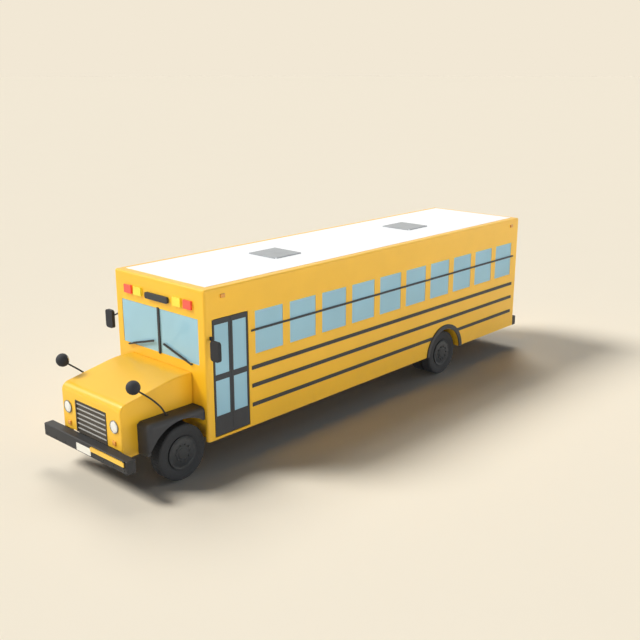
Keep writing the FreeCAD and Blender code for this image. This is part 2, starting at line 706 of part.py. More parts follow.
def make_frame():
    rail = channel("rail", (ahead("horn_end + 60"), REAR_FRAME_END), "frame_bottom", "frame_top")
    horn = channel("horn", (ahead(BUMPER_BACK), ahead("horn_end")), "horn_bottom", "horn_top")
    gusset = box("gusset", ("frame_outer - frame_web", "frame_outer"),
                 (ahead("horn_end + 140"), ahead("horn_end - 140")), ("horn_bottom", "frame_top"))
    pivot_y = ahead("hood_pivot_ahead")
    arm = box("pivot_arm", ("frame_outer - 65", "frame_outer - 45"),
              (ahead("hood_pivot_ahead + 20"), ahead("hood_pivot_ahead - 140")),
              ("hood_pivot_level - 25", "hood_pivot_level + 25"))
    leg = box("pivot_leg", ("frame_outer - 65", "frame_outer - 45"),
              (ahead("hood_pivot_ahead - 90"), ahead("hood_pivot_ahead - 140")),
              ("horn_top - frame_web", "hood_pivot_level"))
    pin = peg("pivot_pin", "x", ("frame_outer - 50", "frame_outer"), (pivot_y, "hood_pivot_level"), "pivot_radius")
    side = fuse("rail_side", [rail, horn, gusset, arm, leg, pin,
                              tow_eye("tow_front", f"({minus(BUMPER_BACK)} + 70)", "horn_bottom",
                                      "(horn_bottom - tow_drop)"),
                              tow_eye("tow_rear", "(body_length - end_wall - 50)", "frame_bottom",
                                      "(body_bottom - tow_drop)")])
    members = []
    count = repeats("body_length - end_wall - 130 - member_first", "member_pitch")
    inner = "(frame_outer - frame_web)"
    places = [f"(member_first + {step} * member_pitch)" for step in range(count)] + ["(body_length - end_wall - 60)"]
    for place, at in enumerate(places):
        members.append(box(f"member_{place}", (minus(inner), inner), (behind(f"{at} - 35"), behind(f"{at} + 35")),
                           (MEMBER_BOTTOM, "frame_top - frame_web")))
    members.append(box("engine_bearer", (minus(inner), inner), (ahead("900"), ahead("820")),
                       ("frame_bottom", "frame_bottom + 20")))
    members.append(box("engine_bearer_rear", (minus(inner), inner), (ahead("330"), ahead("250")),
                       ("frame_bottom", "frame_bottom + 20")))
    members.append(box("horn_member", (minus(inner), inner), (ahead(BUMPER_BACK), ahead(f"{BUMPER_BACK} - 40")),
                       ("horn_bottom", "horn_top")))
    node("ladder_frame", fuse("frame", [side, mirrored("rail_side_other", side)] + members))


def make_front_axle():
    inner = "king_pin - 70"
    beam = box("beam", (minus(inner), inner),
               (ahead("front_axle_at + beam_width / 2"), ahead("front_axle_at - beam_width / 2")),
               (f"{SPRING_SEAT} - beam_depth", SPRING_SEAT))
    groove = box("beam_groove", (minus("king_pin - 110"), "king_pin - 110"),
                 (ahead("front_axle_at + beam_width"), ahead("front_axle_at + beam_width / 5")),
                 (f"{SPRING_SEAT} - beam_depth + 20", f"{SPRING_SEAT} - 20"))
    groove_rear = box("beam_groove_rear", (minus("king_pin - 110"), "king_pin - 110"),
                      (ahead("front_axle_at - beam_width / 5"), ahead("front_axle_at - beam_width")),
                      (f"{SPRING_SEAT} - beam_depth + 20", f"{SPRING_SEAT} - 20"))
    middle = cut("beam_section", beam, [groove, groove_rear])
    neck = box("beam_neck", ("king_pin - 75", "king_pin"), (ahead("front_axle_at + 40"), ahead("front_axle_at - 40")),
               ("tyre_radius - boss_half", "tyre_radius + boss_half"))
    boss = peg("boss", "z", ("tyre_radius - boss_half", "tyre_radius + boss_half"), ("king_pin", FRONT_AXLE),
               "boss_radius")
    pin_reach = "(boss_half + knuckle_gap + ear_wall)"
    pin = peg("king", "z", (f"tyre_radius - {pin_reach}", f"tyre_radius + {pin_reach}"), ("king_pin", FRONT_AXLE),
              "king_radius")
    end = fuse("beam_end", [neck, boss, pin])
    node("front_axle", fuse("front_beam", [middle, end, mirrored("beam_end_other", end)]))


def make_knuckle():
    """The steering knuckle of the door side, as a fork round the axle's boss with its spindle."""
    outer = "(king_pin + boss_radius + 35)"
    gap = "(boss_half + knuckle_gap)"
    reach = f"({gap} + ear_wall)"
    ears = doc.addObject("Part::Prism", "ears")
    ears.Polygon = 16
    bind(ears, "Circumradius", "ear_radius")
    bind(ears, "Height", f"2 * {reach}")
    for axis, place in zip("xyz", ("king_pin", FRONT_AXLE, f"tyre_radius - {reach}")):
        bind(ears, f"Placement.Base.{axis}", place)
    block = box("knuckle_block", ("king_pin", outer), (ahead("front_axle_at + 50"), ahead("front_axle_at - 50")),
                (f"tyre_radius - {reach}", f"tyre_radius + {reach}"))
    slot = box("knuckle_slot", ("king_pin - 2 * ear_radius", "king_pin + boss_radius + 8"),
               (ahead("front_axle_at + 2 * ear_radius"), ahead("front_axle_at - 2 * ear_radius")),
               (f"tyre_radius - {gap}", f"tyre_radius + {gap}"))
    bore = rod("knuckle_bore", "z", ("tyre_radius - 2 * boss_half - ear_wall", "tyre_radius + 2 * boss_half + ear_wall"),
               ("king_pin", FRONT_AXLE), "king_radius + pin_play")
    fork = cut("fork", fuse("fork_blank", [ears, block]), [slot, bore])
    spindle = peg("spindle", "x", (f"{outer} - 1", "front_track - 60"), (FRONT_AXLE, "tyre_radius"), "spindle_radius")
    knuckle = node("knuckle_left", fuse("knuckle", [fork, spindle]))
    node("knuckle_right", mirrored("knuckle_other", knuckle))


def facet_disc(name, span, at, radius, facets=RIM_FACETS):
    """A disc round an axle, with a ring of flat facets that keeps the model light."""
    item = doc.addObject("Part::Prism", name)
    item.Polygon = facets
    item.Placement = FreeCAD.Placement(FreeCAD.Vector(), TURN["x"])
    bind(item, "Circumradius", radius)
    bind(item, "Height", less(*span))
    for axis, place in zip("xyz", (span[0], at, "tyre_radius")):
        bind(item, f"Placement.Base.{axis}", place)
    return item


def facet_ring(name, sections, at):
    """A ring round an axle, lofted through many-sided sections given as (place, radius)."""
    rings = []
    for step, (place, radius) in enumerate(sections):
        ring = doc.addObject("Part::RegularPolygon", f"{name}_section_{step}")
        ring.Polygon = TYRE_FACETS
        ring.Placement = FreeCAD.Placement(FreeCAD.Vector(), TURN["x"])
        bind(ring, "Circumradius", radius)
        for axis, where in zip("xyz", (place, at, "tyre_radius")):
            bind(ring, f"Placement.Base.{axis}", where)
        rings.append(ring)
    loft = doc.addObject("Part::Loft", name)
    loft.Sections = rings
    loft.Solid = True
    loft.Ruled = True
    return loft


def tyre(name, outer, at):
    """A tyre round its axle, with a bevelled shoulder on both sides."""
    inner = f"({outer} - tyre_width)"
    bevel = "tyre_bevel"
    shoulder = f"tyre_radius - {bevel}"
    ring = facet_ring(name + "_ring", [
        (inner, shoulder), (f"{inner} + {bevel}", "tyre_radius"), (f"{outer} - {bevel}", "tyre_radius"),
        (outer, shoulder),
    ], at)
    return cut(name, ring, [facet_disc(name + "_bead", (f"{inner} - 10", f"{outer} + 10"), at, "rim_radius")])


def barrel(name, outer, at):
    inner = f"({outer} - tyre_width)"
    ring = facet_disc(name + "_outside", (f"{inner} + rim_inset", f"{outer} - rim_inset"), at, "rim_radius")
    return cut(name, ring, [facet_disc(name + "_inside", (f"{inner} - 10", f"{outer} + 10"), at,
                                       "rim_radius - rim_wall")])


def make_front_wheel():
    node("tyre_front_left", tyre("tyre_front", "front_track", FRONT_AXLE))
    face = "(front_track - rim_inset)"
    hub_inner = "(king_pin + boss_radius + 45)"
    disc = facet_disc("front_disc", (f"{face} - disc_wall", face), FRONT_AXLE, "rim_radius - 1")
    hub = facet_disc("front_hub", (hub_inner, face), FRONT_AXLE, "hub_radius", HUB_FACETS)
    bore = rod("front_hub_bore", "x", (f"{hub_inner} - 10", "front_track - 55"), (FRONT_AXLE, "tyre_radius"),
               "spindle_radius + pin_play")
    wheel = fuse("front_wheel_blank", [barrel("front_barrel", "front_track", FRONT_AXLE), disc, hub])
    node("rim_front_left", cut("front_wheel", wheel, [bore]))


def make_rear_wheel():
    inner = "(rear_track - tyre_width - twin_gap)"
    outer_tyre = tyre("tyre_rear_outer", "rear_track", REAR_AXLE)
    inner_tyre = tyre("tyre_rear_inner", inner, REAR_AXLE)
    node("tyres_rear_left", compound("rear_tyres", [outer_tyre, inner_tyre]))
    face = "(rear_track - rim_inset)"
    disc = facet_disc("rear_disc", (f"{face} - disc_wall", face), REAR_AXLE, "rim_radius - 1")
    web = facet_disc("rear_web", (f"{inner} - disc_wall", "rear_track - tyre_width + disc_wall"), REAR_AXLE,
                     "rim_radius - 1")
    hub = facet_disc("rear_hub", ("rear_track - 2 * tyre_width", face), REAR_AXLE, "hub_radius", HUB_FACETS)
    bore = rod("rear_hub_bore", "x", ("rear_track - 3 * tyre_width", "rear_track - 95"), (REAR_AXLE, "tyre_radius"),
               f"{AXLE_TUBE} + pin_play")
    barrels = [barrel("rear_barrel", "rear_track", REAR_AXLE), barrel("rear_barrel_inner", inner, REAR_AXLE)]
    node("rims_rear_left", cut("rear_wheel", fuse("rear_wheel_blank", barrels + [disc, web, hub]), [bore]))


def make_wheels():
    make_front_wheel()
    make_rear_wheel()
    for source, label in [(item, item.Label) for item in NODES if item.Label.endswith("_left")]:
        if label.startswith(("tyre", "rim")):
            node(label.replace("_left", "_right"), mirrored(label + "_mirror", source))


def make_rear_axle():
    tube = peg("axle_tube", "x", (minus("rear_track - 100"), "rear_track - 100"), (REAR_AXLE, "tyre_radius"),
               AXLE_TUBE)
    bowl = peg("differential", "x", ("-130", "130"), (REAR_AXLE, "tyre_radius"), "165")
    nose = peg("differential_nose", "y", (behind("rear_axle_at - 290"), REAR_AXLE), ("0", "shaft_level"), "80")
    node("rear_axle", fuse("rear_axle_body", [tube, bowl, nose]))


def make_driveline():
    block = box("engine", (minus("engine_half"), "engine_half"), (ahead("engine_front"), ahead("engine_rear")),
                ("frame_bottom + 20", "engine_top"))
    gearbox = box("gearbox", (minus("gearbox_half"), "gearbox_half"), (ahead("engine_rear"), behind("gearbox_end")),
                  ("shaft_level - 55", "frame_top + 80"))
    node("engine_block", cut("engine_clear", fuse("engine_unit", [block, gearbox]), [
        box("member_room", (minus("frame_outer"), "frame_outer"), (behind("250 - 35"), behind("250 + 35")),
            (MEMBER_BOTTOM, "frame_top - frame_web"))]))
    node("drive_shaft", peg("shaft", "y", (behind("gearbox_end"), behind("rear_axle_at - 290")), ("0", "shaft_level"),
                            "shaft_radius"))


def spring(name, at):
    """A leaf spring seated on its axle, each leaf shorter than the one above."""
    middle = "(frame_outer - frame_web - spring_gap - spring_half)"
    leaves = []
    for place in range(int(SIZE["spring_leaves"])):
        half = f"(spring_long / 2 - {place} * spring_long / 10)"
        top = f"(frame_bottom - {place} * spring_leaf)"
        leaves.append(box(f"{name}_leaf_{place}", (f"{middle} - spring_half", f"{middle} + spring_half"),
                          (f"{at} - {half}", f"{at} + {half}"), (f"{top} - spring_leaf", top)))
    return fuse(name, leaves)


def make_springs():
    front = spring("front_spring", FRONT_AXLE)
    rear = spring("rear_spring", REAR_AXLE)
    node("leaf_springs", compound("springs", [front, mirrored("front_spring_other", front), rear,
                                              mirrored("rear_spring_other", rear)]))


def make_tank_and_exhaust():
    tank = box("tank", (minus("tank_outer"), minus("frame_outer")), (behind("tank_front"), behind("tank_rear")),
               ("tank_bottom", "tank_top"))
    node("fuel_tank", rounded("tank_round", tank, "45", lambda edge: runs_along(edge, Y_AXIS)))
    outlet = "(body_width / 2 - side_wall - 15)"
    elbow = behind("rear_axle_at - pipe_elbow")
    pipe = bent_tube("pipe", [
        ("pipe_at", behind("pipe_front"), "pipe_level"), ("pipe_at", elbow, "pipe_level"),
        (outlet, elbow, "pipe_level"),
    ], "pipe_radius", "2 * pipe_radius")
    muffler = peg("muffler", "y", (behind("muffler_front"), behind("muffler_front + muffler_long")),
                  ("pipe_at", "pipe_level"), "muffler_radius")
    hangers = [box(f"hanger_{place}", ("frame_outer", "pipe_at"), (behind(f"{at} - 20"), behind(f"{at} + 20")),
                   ("pipe_level - 15", "pipe_level + 15")) for place, at in enumerate(("(muffler_front - 200)", "(muffler_front + muffler_long + 200)",
                                    "(rear_axle_at - pipe_elbow - 400)"))]
    node("exhaust", fuse("exhaust_line", [pipe, muffler] + hangers))


# Body panels
def window_span(place):
    low = f"(window_first + {place} * window_pitch)"
    return behind(low), behind(f"{low} + window_width")


WINDOW_HEIGHT = ("window_bottom", "window_top")
WINDOWS = repeats("body_length - end_wall - window_first - window_width", "window_pitch")
LEFT_WINDOWS = range(WINDOWS)
RIGHT_WINDOWS = range(-1, WINDOWS)


def wheel_housing(name):
    """The inner half tube over a rear twin wheel."""
    centre = (REAR_AXLE, "tyre_radius")
    span = (f"{INSIDE} - arch_depth", INSIDE)
    tube = cut(name + "_tube", rod(name + "_outer", "x", span, centre, "rear_arch + arch_wall"),
               [rod(name + "_inner", "x", (f"{span[0]} - 10", f"{span[1]} + 10"), centre, "rear_arch")])
    upper = box(name + "_upper", span, (behind("rear_axle_at - 700"), behind("rear_axle_at + 700")),
                ("body_bottom", "floor_top"))
    return common(name, tube, upper)


def side_wall(name, start, windows):
    """A side wall seen from the door side, with its windows and the rear wheel opening cut."""
    panel = box(name + "_panel", (INSIDE, HALF), (start, behind(f"{END} - end_wall")),
                ("body_bottom", "body_top - roof_wall"))
    span = (f"{INSIDE} - 20", f"{HALF} + 20")
    openings = [box(f"{name}_opening_{place}", span, window_span(place), WINDOW_HEIGHT) for place in windows]
    arch = rod(name + "_arch", "x", span, (REAR_AXLE, "tyre_radius"), "rear_arch")
    wall = cut(name + "_cut", panel, [compound(name + "_openings", openings + [arch])])
    return fuse(name, [wall, wheel_housing(name + "_housing")])


def make_side_walls():
    node("side_wall_left", side_wall("wall_left", behind("door_panel_end"), LEFT_WINDOWS))
    other = side_wall("wall_right", behind("end_wall"), RIGHT_WINDOWS)
    node("side_wall_right", mirrored("wall_right_placed", other))
    span = (f"{HALF} - glass_inset - glass_wall", f"{HALF} - glass_inset")
    left = [box(f"pane_left_{place}", span, window_span(place), WINDOW_HEIGHT) for place in LEFT_WINDOWS]
    right = [box(f"pane_right_{place + 1}", span, window_span(place), WINDOW_HEIGHT) for place in RIGHT_WINDOWS]
    back = box("rear_pane", ("rear_door_half + 160", "shield_half"),
               (behind(f"{END} - glass_inset - glass_wall"), behind(f"{END} - glass_inset")), WINDOW_HEIGHT)
    node("body_windows", compound("panes", left + [mirrored("panes_right", compound("panes_other", right)),
                                                   back, mirrored("rear_pane_other", back)]))


def make_door_surround():
    panel = box("surround_panel", (INSIDE, HALF), (behind("end_wall"), behind("door_panel_end")),
                ("body_bottom", "body_top - roof_wall"))
    opening = box("doorway", (f"{INSIDE} - 20", f"{HALF} + 20"),
                  (behind("door_front - door_jamb_gap"), behind("door_rear + door_jamb_gap")),
                  ("door_bottom - door_gap", "door_top + door_gap"))
    pins = []
    for name, at in (("front", "door_front + door_pin_in"), ("rear", "door_rear - door_pin_in")):
        centre = ("body_width / 2 - door_wall / 2", behind(at))
        pins.append(peg(f"door_pin_low_{name}", "z", ("door_bottom - door_gap - 2", "door_bottom + door_pin_deep"),
                        centre, "door_pin"))
        pins.append(peg(f"door_pin_high_{name}", "z", ("door_top - door_pin_deep", "door_top + door_gap + 2"), centre,
                        "door_pin"))
    node("door_surround", fuse("surround", [cut("surround_frame", panel, [opening])] + pins))


def make_front_wall():
    wall = box("front_panel", (minus(HALF), HALF), (WALL, behind("end_wall")),
               ("body_bottom", "body_top - roof_wall"))
    wall = rounded("front_corners", wall, "corner_round",
                   lambda edge: runs_along(edge, Z_AXIS) and edge.CenterOfMass.y < number(WALL) + 1)
    through = (ahead("10"), behind("end_wall + 10"))
    shield = box("shield_opening", (minus("shield_half"), "shield_half"), through, ("shield_bottom", "shield_top"))
    tunnel = box("tunnel", (minus("tunnel_half"), "tunnel_half"), through,
                 ("body_bottom - 10", "floor_top - floor_wall"))
    centre = (FRONT_AXLE, "tyre_radius")
    pocket = rod("pocket", "x", ("pocket_inner", "pocket_outer"), centre, "pocket_radius")
    pockets = [pocket, mirrored("pocket_other", pocket)]
    blank = common("housing_blank",
                   rod("housing_round", "x", ("tunnel_half", "pocket_outer + arch_wall"), centre,
                       "pocket_radius + arch_wall"),
                   box("housing_room", ("tunnel_half", "pocket_outer + arch_wall"),
                       (WALL, behind("pocket_radius + arch_wall - front_axle_at")),
                       ("body_bottom", "floor_top - floor_wall")))
    solid = fuse("front_solid", [cut("front_holes", wall, [shield, tunnel]), blank, mirrored("housing_other", blank)])
    node("front_wall", cut("front_finished", solid, pockets))


def make_wipers():
    blade = doc.addObject("Part::Box", "wiper_blade")
    bind(blade, "Length", "wiper_long")
    bind(blade, "Width", "wiper_deep")
    bind(blade, "Height", "wiper_high")
    turn = FreeCAD.Rotation(FreeCAD.Vector(0, 1, 0), 180 + 15.5)
    blade.Placement = FreeCAD.Placement(FreeCAD.Vector(), turn)
    for axis, place in zip("xyz", ("shield_half - 182", ahead("32"), "shield_bottom - 2")):
        bind(blade, f"Placement.Base.{axis}", place)
    boss = peg("wiper_boss", "y", (ahead("34"), WALL), ("shield_half - 182", "shield_bottom - 14"), "16")
    wiper = fuse("wiper", [blade, boss])
    return [wiper, mirrored("wiper_other", wiper)]


def make_windshield():
    along = (behind("glass_inset"), behind("glass_inset + glass_wall"))
    pane = box("shield_pane", ("post_half", "shield_half"), along, ("shield_bottom", "shield_top"))
    node("windshield", both_sides("shield_panes", pane))
    post = box("post", (minus("post_half"), "post_half"), (ahead("post_proud"), WALL),
               ("shield_bottom - post_over", "shield_top + post_over"))
    mullion = box("mullion", (minus("post_half"), "post_half"), (ahead("1"), behind("end_wall - 10")),
                  ("shield_bottom", "shield_top"))
    bar = box("sign", (minus("sign_half"), "sign_half"), (ahead("sign_proud"), WALL), ("sign_bottom", "sign_top"))
    bar = rounded("sign_round", bar, "sign_high / 3", lambda edge: runs_along(edge, Y_AXIS))
    node("front_trim", compound("trim", [fuse("post_whole", [post, mullion]), bar] + make_wipers()))


def make_rear_wall():
    wall = box("rear_panel", (minus(HALF), HALF), (behind(f"{END} - end_wall"), behind(END)),
               ("body_bottom", "body_top - roof_wall"))
    wall = rounded("rear_corners", wall, "corner_round",
                   lambda edge: runs_along(edge, Z_AXIS) and edge.CenterOfMass.y > number(behind(END)) - 1)
    opening = box("exit_opening", (minus("rear_door_half"), "rear_door_half"),
                  (behind(f"{END} - end_wall - 10"), behind(f"{END} + 10")), ("rear_door_bottom", "rear_door_top"))
    panes = box("rear_side_opening", ("rear_door_half + 160", "shield_half"),
                (behind(f"{END} - end_wall - 10"), behind(f"{END} + 10")), WINDOW_HEIGHT)
    hinge_x = minus("rear_door_half")
    axis_y = behind(f"{END} + rear_door_hinge_out")
    hinges = []
    for place, level in enumerate(("rear_door_bottom + 300", "rear_door_top - 300")):
        hinges.append(peg(f"exit_pin_{place}", "z", (f"{level} - 60", f"{level} + 60"), (hinge_x, axis_y), "rear_door_pin"))
        for end, sign in (("low", "-"), ("high", "+")):
            middle = f"({level} {sign} 50)"
            hinges.append(box(f"exit_lug_{place}_{end}", (f"{hinge_x} - 60", hinge_x),
                              (behind(f"{END} - 1"), f"{axis_y} + rear_door_pin"), (f"{middle} - 10", f"{middle} + 10")))
    holes = [opening, panes, mirrored("rear_side_opening_other", panes)]
    bumper_stays = [box(f"rear_stay_{place}", (f"{place} * 400 - 40", f"{place} * 400 + 40"),
                        (behind(f"{END} - 1"), behind(f"{END} + rear_bumper_gap")),
                        ("body_bottom + 20", "body_bottom + 120")) for place in (-1, 1)]
    node("rear_wall", fuse("rear_finished", [cut("rear_holes", wall, holes)] + hinges + bumper_stays))


def hatch_hole(name, at, depth):
    half_wide = "(hatch_wide / 2 - hatch_rim)"
    half_long = "(hatch_long / 2 - hatch_rim)"
    return box(name, (minus(half_wide), half_wide), (behind(f"{at} - {half_long}"), behind(f"{at} + {half_long}")),
               depth)


HATCHES = (("front", "hatch_front_at"), ("rear", "hatch_rear_at"))
SKIN_TOP = "(body_top + skin_wall)"
LID_BOTTOM = "(body_top + skin_wall + rest_gap)"


def hatch_axis(at):
    """The hinge runs through the lid's front edge, which is a full round."""
    return (behind(f"{at} - hatch_long / 2 + hatch_wall / 2"), f"({LID_BOTTOM} + hatch_wall / 2)")


def make_roof():
    shell = box("roof", (minus(HALF), HALF), (WALL, behind(END)), ("body_top - roof_wall", "body_top"))
    shell = rounded("roof_corners", shell, "corner_round", lambda edge: runs_along(edge, Z_AXIS))
    level = number("body_top")
    shell = rounded("roof_edges", shell, "roof_round", lambda edge: edge.CenterOfMass.z > level - 1)
    holes = [hatch_hole(f"roof_hole_{name}", at, ("body_top - roof_wall - 10", "body_top + 10"))
             for name, at in HATCHES]
    node("roof_shell", cut("roof_finished", shell, [compound("roof_holes", holes)]))
    half = "(body_width / 2 - skin_inset)"
    skin = box("skin", (minus(half), half), (behind("skin_inset"), behind(f"{END} - skin_inset")),
               ("body_top", SKIN_TOP))
    holes = [hatch_hole(f"skin_hole_{name}", at, ("body_top - 10", "body_top + 20")) for name, at in HATCHES]
    lugs = []
    for name, at in HATCHES:
        axis = hatch_axis(at)
        lug = box(f"hatch_lug_{name}", ("hatch_wide / 2 + 6", "hatch_wide / 2 + 26"), (f"{axis[0]} - 10", f"{axis[0]} + 14"),
                  ("body_top + 1", f"{axis[1]} + 9"))
        pin = peg(f"hatch_pin_{name}", "x", ("hatch_wide / 2 - 25", "hatch_wide / 2 + 16"), axis, "hatch_pin")
        side = fuse(f"hatch_hinge_{name}", [lug, pin])
        lugs += [side, mirrored(f"hatch_hinge_{name}_other", side)]
    node("roof_panel", fuse("skin_finished", [cut("skin_cut", skin, [compound("skin_holes", holes)])] + lugs))


def make_hatches():
    for name, at in HATCHES:
        axis = hatch_axis(at)
        lid = box(f"lid_{name}", (minus("hatch_wide / 2"), "hatch_wide / 2"),
                  (axis[0], behind(f"{at} + hatch_long / 2")), (LID_BOTTOM, f"{LID_BOTTOM} + hatch_wall"))
        top = number(f"{LID_BOTTOM} + hatch_wall")
        front = number(axis[0])
        lid = rounded(f"lid_round_{name}", lid, "6",
                      lambda edge: edge.CenterOfMass.z > top - 1 and edge.CenterOfMass.y > front + 1
                      and runs_along(edge, X_AXIS))
        barrel_rod = rod(f"lid_barrel_{name}", "x", (minus("hatch_wide / 2"), "hatch_wide / 2"), axis, "hatch_wall / 2")
        lid = fuse(f"lid_whole_{name}", [lid, barrel_rod])
        bore = rod(f"lid_bore_{name}", "x", ("hatch_wide / 2 - 30", "hatch_wide / 2 + 10"), axis,
                   "hatch_pin + pin_play")
        node(f"roof_hatch_{name}", cut(f"lid_finished_{name}", lid, [bore, mirrored(f"lid_bore_other_{name}", bore)]))


def make_floor():
    half = INSIDE
    plate = box("floor_plate", (minus(half), half), (behind("end_wall"), behind(f"{END} - end_wall")),
                ("floor_top - floor_wall", "floor_top"))
    under = "(floor_top - floor_wall)"
    inner = "(frame_outer - frame_flange)"
    sill = box("sill", (inner, "frame_outer"), (behind("end_wall"), behind(f"{END} - end_wall - 60")),
               ("frame_top", under))
    bearers = [box(f"bearer_{place}", (minus(half), half),
                   (behind(f"bearer_first + {place} * bearer_pitch - bearer_width / 2"),
                    behind(f"bearer_first + {place} * bearer_pitch + bearer_width / 2")),
                   (f"{under} - bearer_depth", under))
               for place in range(repeats("body_length - 2 * end_wall - bearer_first - bearer_width", "bearer_pitch"))]
    whole = fuse("floor_blank", [plate, sill, mirrored("sill_other", sill)] + bearers)
    well = box("well", ("well_inner", f"{half} + 10"), (behind("door_front - door_jamb_gap"),
                                                        behind("door_rear + door_jamb_gap")),
               (f"{under} - bearer_depth - 10", "floor_top + 10"))
    room = rod("housing_clear", "x", (f"{INSIDE} - arch_depth - 15", f"{INSIDE} + 15"), (REAR_AXLE, "tyre_radius"),
               "rear_arch + arch_wall")
    clear = [well, room, mirrored("housing_clear_other", room)]
    edge = f"({half} - step_gap)"
    steps = padded_outline("steps", "y", (behind("door_front - door_jamb_gap"), behind("door_rear + door_jamb_gap")), [
        (edge, "step_low - step_wall"), (edge, "step_low"), ("step_edge - step_wall", "step_low"),
        ("step_edge - step_wall", "step_level - step_wall"), ("step_edge", "step_level - step_wall"),
        ("step_edge", "step_level"), ("well_inner", "step_level"), ("well_inner", "floor_top"),
        ("well_inner - step_wall", "floor_top"), ("well_inner - step_wall", "step_level - step_wall"),
        ("step_edge - 2 * step_wall", "step_level - step_wall"), ("step_edge - 2 * step_wall", "step_low - step_wall"),
    ])
    node("body_floor", fuse("floor_finished", [cut("floor_cut", whole, clear), steps]))


# Doors
def door_leaf(label, low, high, hinge_at, low_stile, high_stile):
    """One leaf of the entrance door with its two panes and the holes for its pins."""
    across = ("body_width / 2 - door_wall", HALF)
    leaf = box(f"leaf_{label}", across, (behind(low), behind(high)), ("door_bottom", "door_top"))
    pane_along = (behind(f"{low} + {low_stile}"), behind(f"{high} - {high_stile}"))
    levels = (("upper", "door_bar_top", "door_pane_top"), ("lower", "door_kick", "door_bar_bottom"))
    through = (f"{across[0]} - 10", f"{across[1]} + 10")
    holes = [box(f"leaf_{label}_{name}", through, pane_along, (bottom, top)) for name, bottom, top in levels]
    centre = ("body_width / 2 - door_wall / 2", behind(hinge_at))
    bores = [rod(f"leaf_{label}_bore_low", "z", ("door_bottom - 5", "door_bottom + door_pin_deep + 1"), centre,
                 "door_pin + pin_play"),
             rod(f"leaf_{label}_bore_high", "z", ("door_top - door_pin_deep - 1", "door_top + 5"), centre,
                 "door_pin + pin_play")]
    node(f"door_leaf_{label}", cut(f"leaf_{label}_finished", leaf, [compound(f"leaf_{label}_cuts", holes + bores)]))
    glass = (f"{HALF} - glass_inset - glass_wall", f"{HALF} - glass_inset")
    panes = [box(f"leaf_{label}_pane_{name}", glass, pane_along, (bottom, top)) for name, bottom, top in levels]
    node(f"door_glass_{label}", compound(f"leaf_{label}_panes", panes))


def make_entrance_door():
    middle = "((door_front + door_rear) / 2)"
    door_leaf("front", "door_front", f"({middle} - door_split / 2)", "door_front + door_pin_in", "door_stile",
              "door_middle_stile")
    door_leaf("rear", f"({middle} + door_split / 2)", "door_rear", "door_rear - door_pin_in", "door_middle_stile",
              "door_stile")


def make_exit_door():
    half = "(rear_door_half - rear_door_gap)"
    along = (behind(f"{END} - end_wall + 6"), behind(END))
    panel = box("exit_panel", (minus(half), half), along, ("rear_door_bottom + rear_door_gap", "rear_door_top - rear_door_gap"))
    levels = (("upper", "window_bottom", "window_top"), ("lower", "rear_door_bottom + 160", "window_bottom - 150"))
    through = (f"{along[0]} - 10", f"{along[1]} + 10")
    holes = [box(f"exit_hole_{name}", (minus("rear_door_glass_half"), "rear_door_glass_half"), through, (bottom, top))
             for name, bottom, top in levels]
    hinge = (minus("rear_door_half"), behind(f"{END} + rear_door_hinge_out"))
    straps = []
    bores = []
    for place, level in enumerate(("rear_door_bottom + 300", "rear_door_top - 300")):
        span = (f"{level} - 34.6", f"{level} + 34.6")
        straps.append(peg(f"strap_barrel_{place}", "z", span, hinge, "rear_door_barrel"))
        straps.append(box(f"strap_{place}", (hinge[0], "-rear_door_half + 190"), (behind(f"{END} - 1"), hinge[1]), span))
        bores.append(rod(f"strap_bore_{place}", "z", (f"{level} - 80", f"{level} + 80"), hinge,
                         "rear_door_pin + pin_play"))
    handle = box("exit_handle", ("rear_door_half - 130", "rear_door_half - 40"), (behind(f"{END} - 1"), behind(f"{END} + 40")),
                 ("rear_door_bottom + 740", "rear_door_bottom + 770"))
    leaf = fuse("exit_blank", [cut("exit_cut", panel, holes)] + straps + [handle])
    jamb = box("strap_room", ("-rear_door_half - 100", "-rear_door_half + rear_door_gap"), (behind(f"{END} - 20"), behind(f"{END} + 0.4")),
               ("rear_door_bottom", "rear_door_top"))
    node("exit_door", cut("exit_finished", leaf, bores + [jamb]))
    glass = (behind(f"{END} - glass_inset - glass_wall"), behind(f"{END} - glass_inset"))
    panes = [box(f"exit_pane_{name}", (minus("rear_door_glass_half"), "rear_door_glass_half"), glass, (bottom, top))
             for name, bottom, top in levels]
    node("exit_door_glass", compound("exit_panes", panes))


# Outside trim and lamps
def make_side_trim():
    outside = (HALF, "body_width / 2 + rail_proud")
    along = (behind("rail_start"), behind("rail_end"))
    bars = [box(f"rub_{name}", outside, along, (f"{name} - rail_high / 2", f"{name} + rail_high / 2"))
            for name in ("rail_upper", "rail_middle")]
    lower = box("rub_lower", outside, along, ("rail_lower - rail_high / 2", "rail_lower + rail_high / 2"))
    centre = (REAR_AXLE, "tyre_radius")
    span = (f"{HALF} - 10", "body_width / 2 + 2 * flare_proud")
    lower = cut("rub_lower_cut", lower, [rod("flare_room", "x", span, centre, "flare_radius + 3")])
    guard = box("guard", outside, along, ("guard_level - guard_high / 2", "guard_level + guard_high / 2"))
    flare = cut("flare_ring", rod("flare_disc", "x", (HALF, "body_width / 2 + flare_proud"), centre, "flare_radius"),
                [rod("flare_hole", "x", span, centre, "rear_arch")])
    upper = box("flare_upper", span, (behind("rear_axle_at - 800"), behind("rear_axle_at + 800")),
                ("body_bottom", "floor_top + 200"))
    side = compound("trim_side", bars + [lower, guard, common("flare", flare, upper)])
    return both_sides("trim_sides", side)


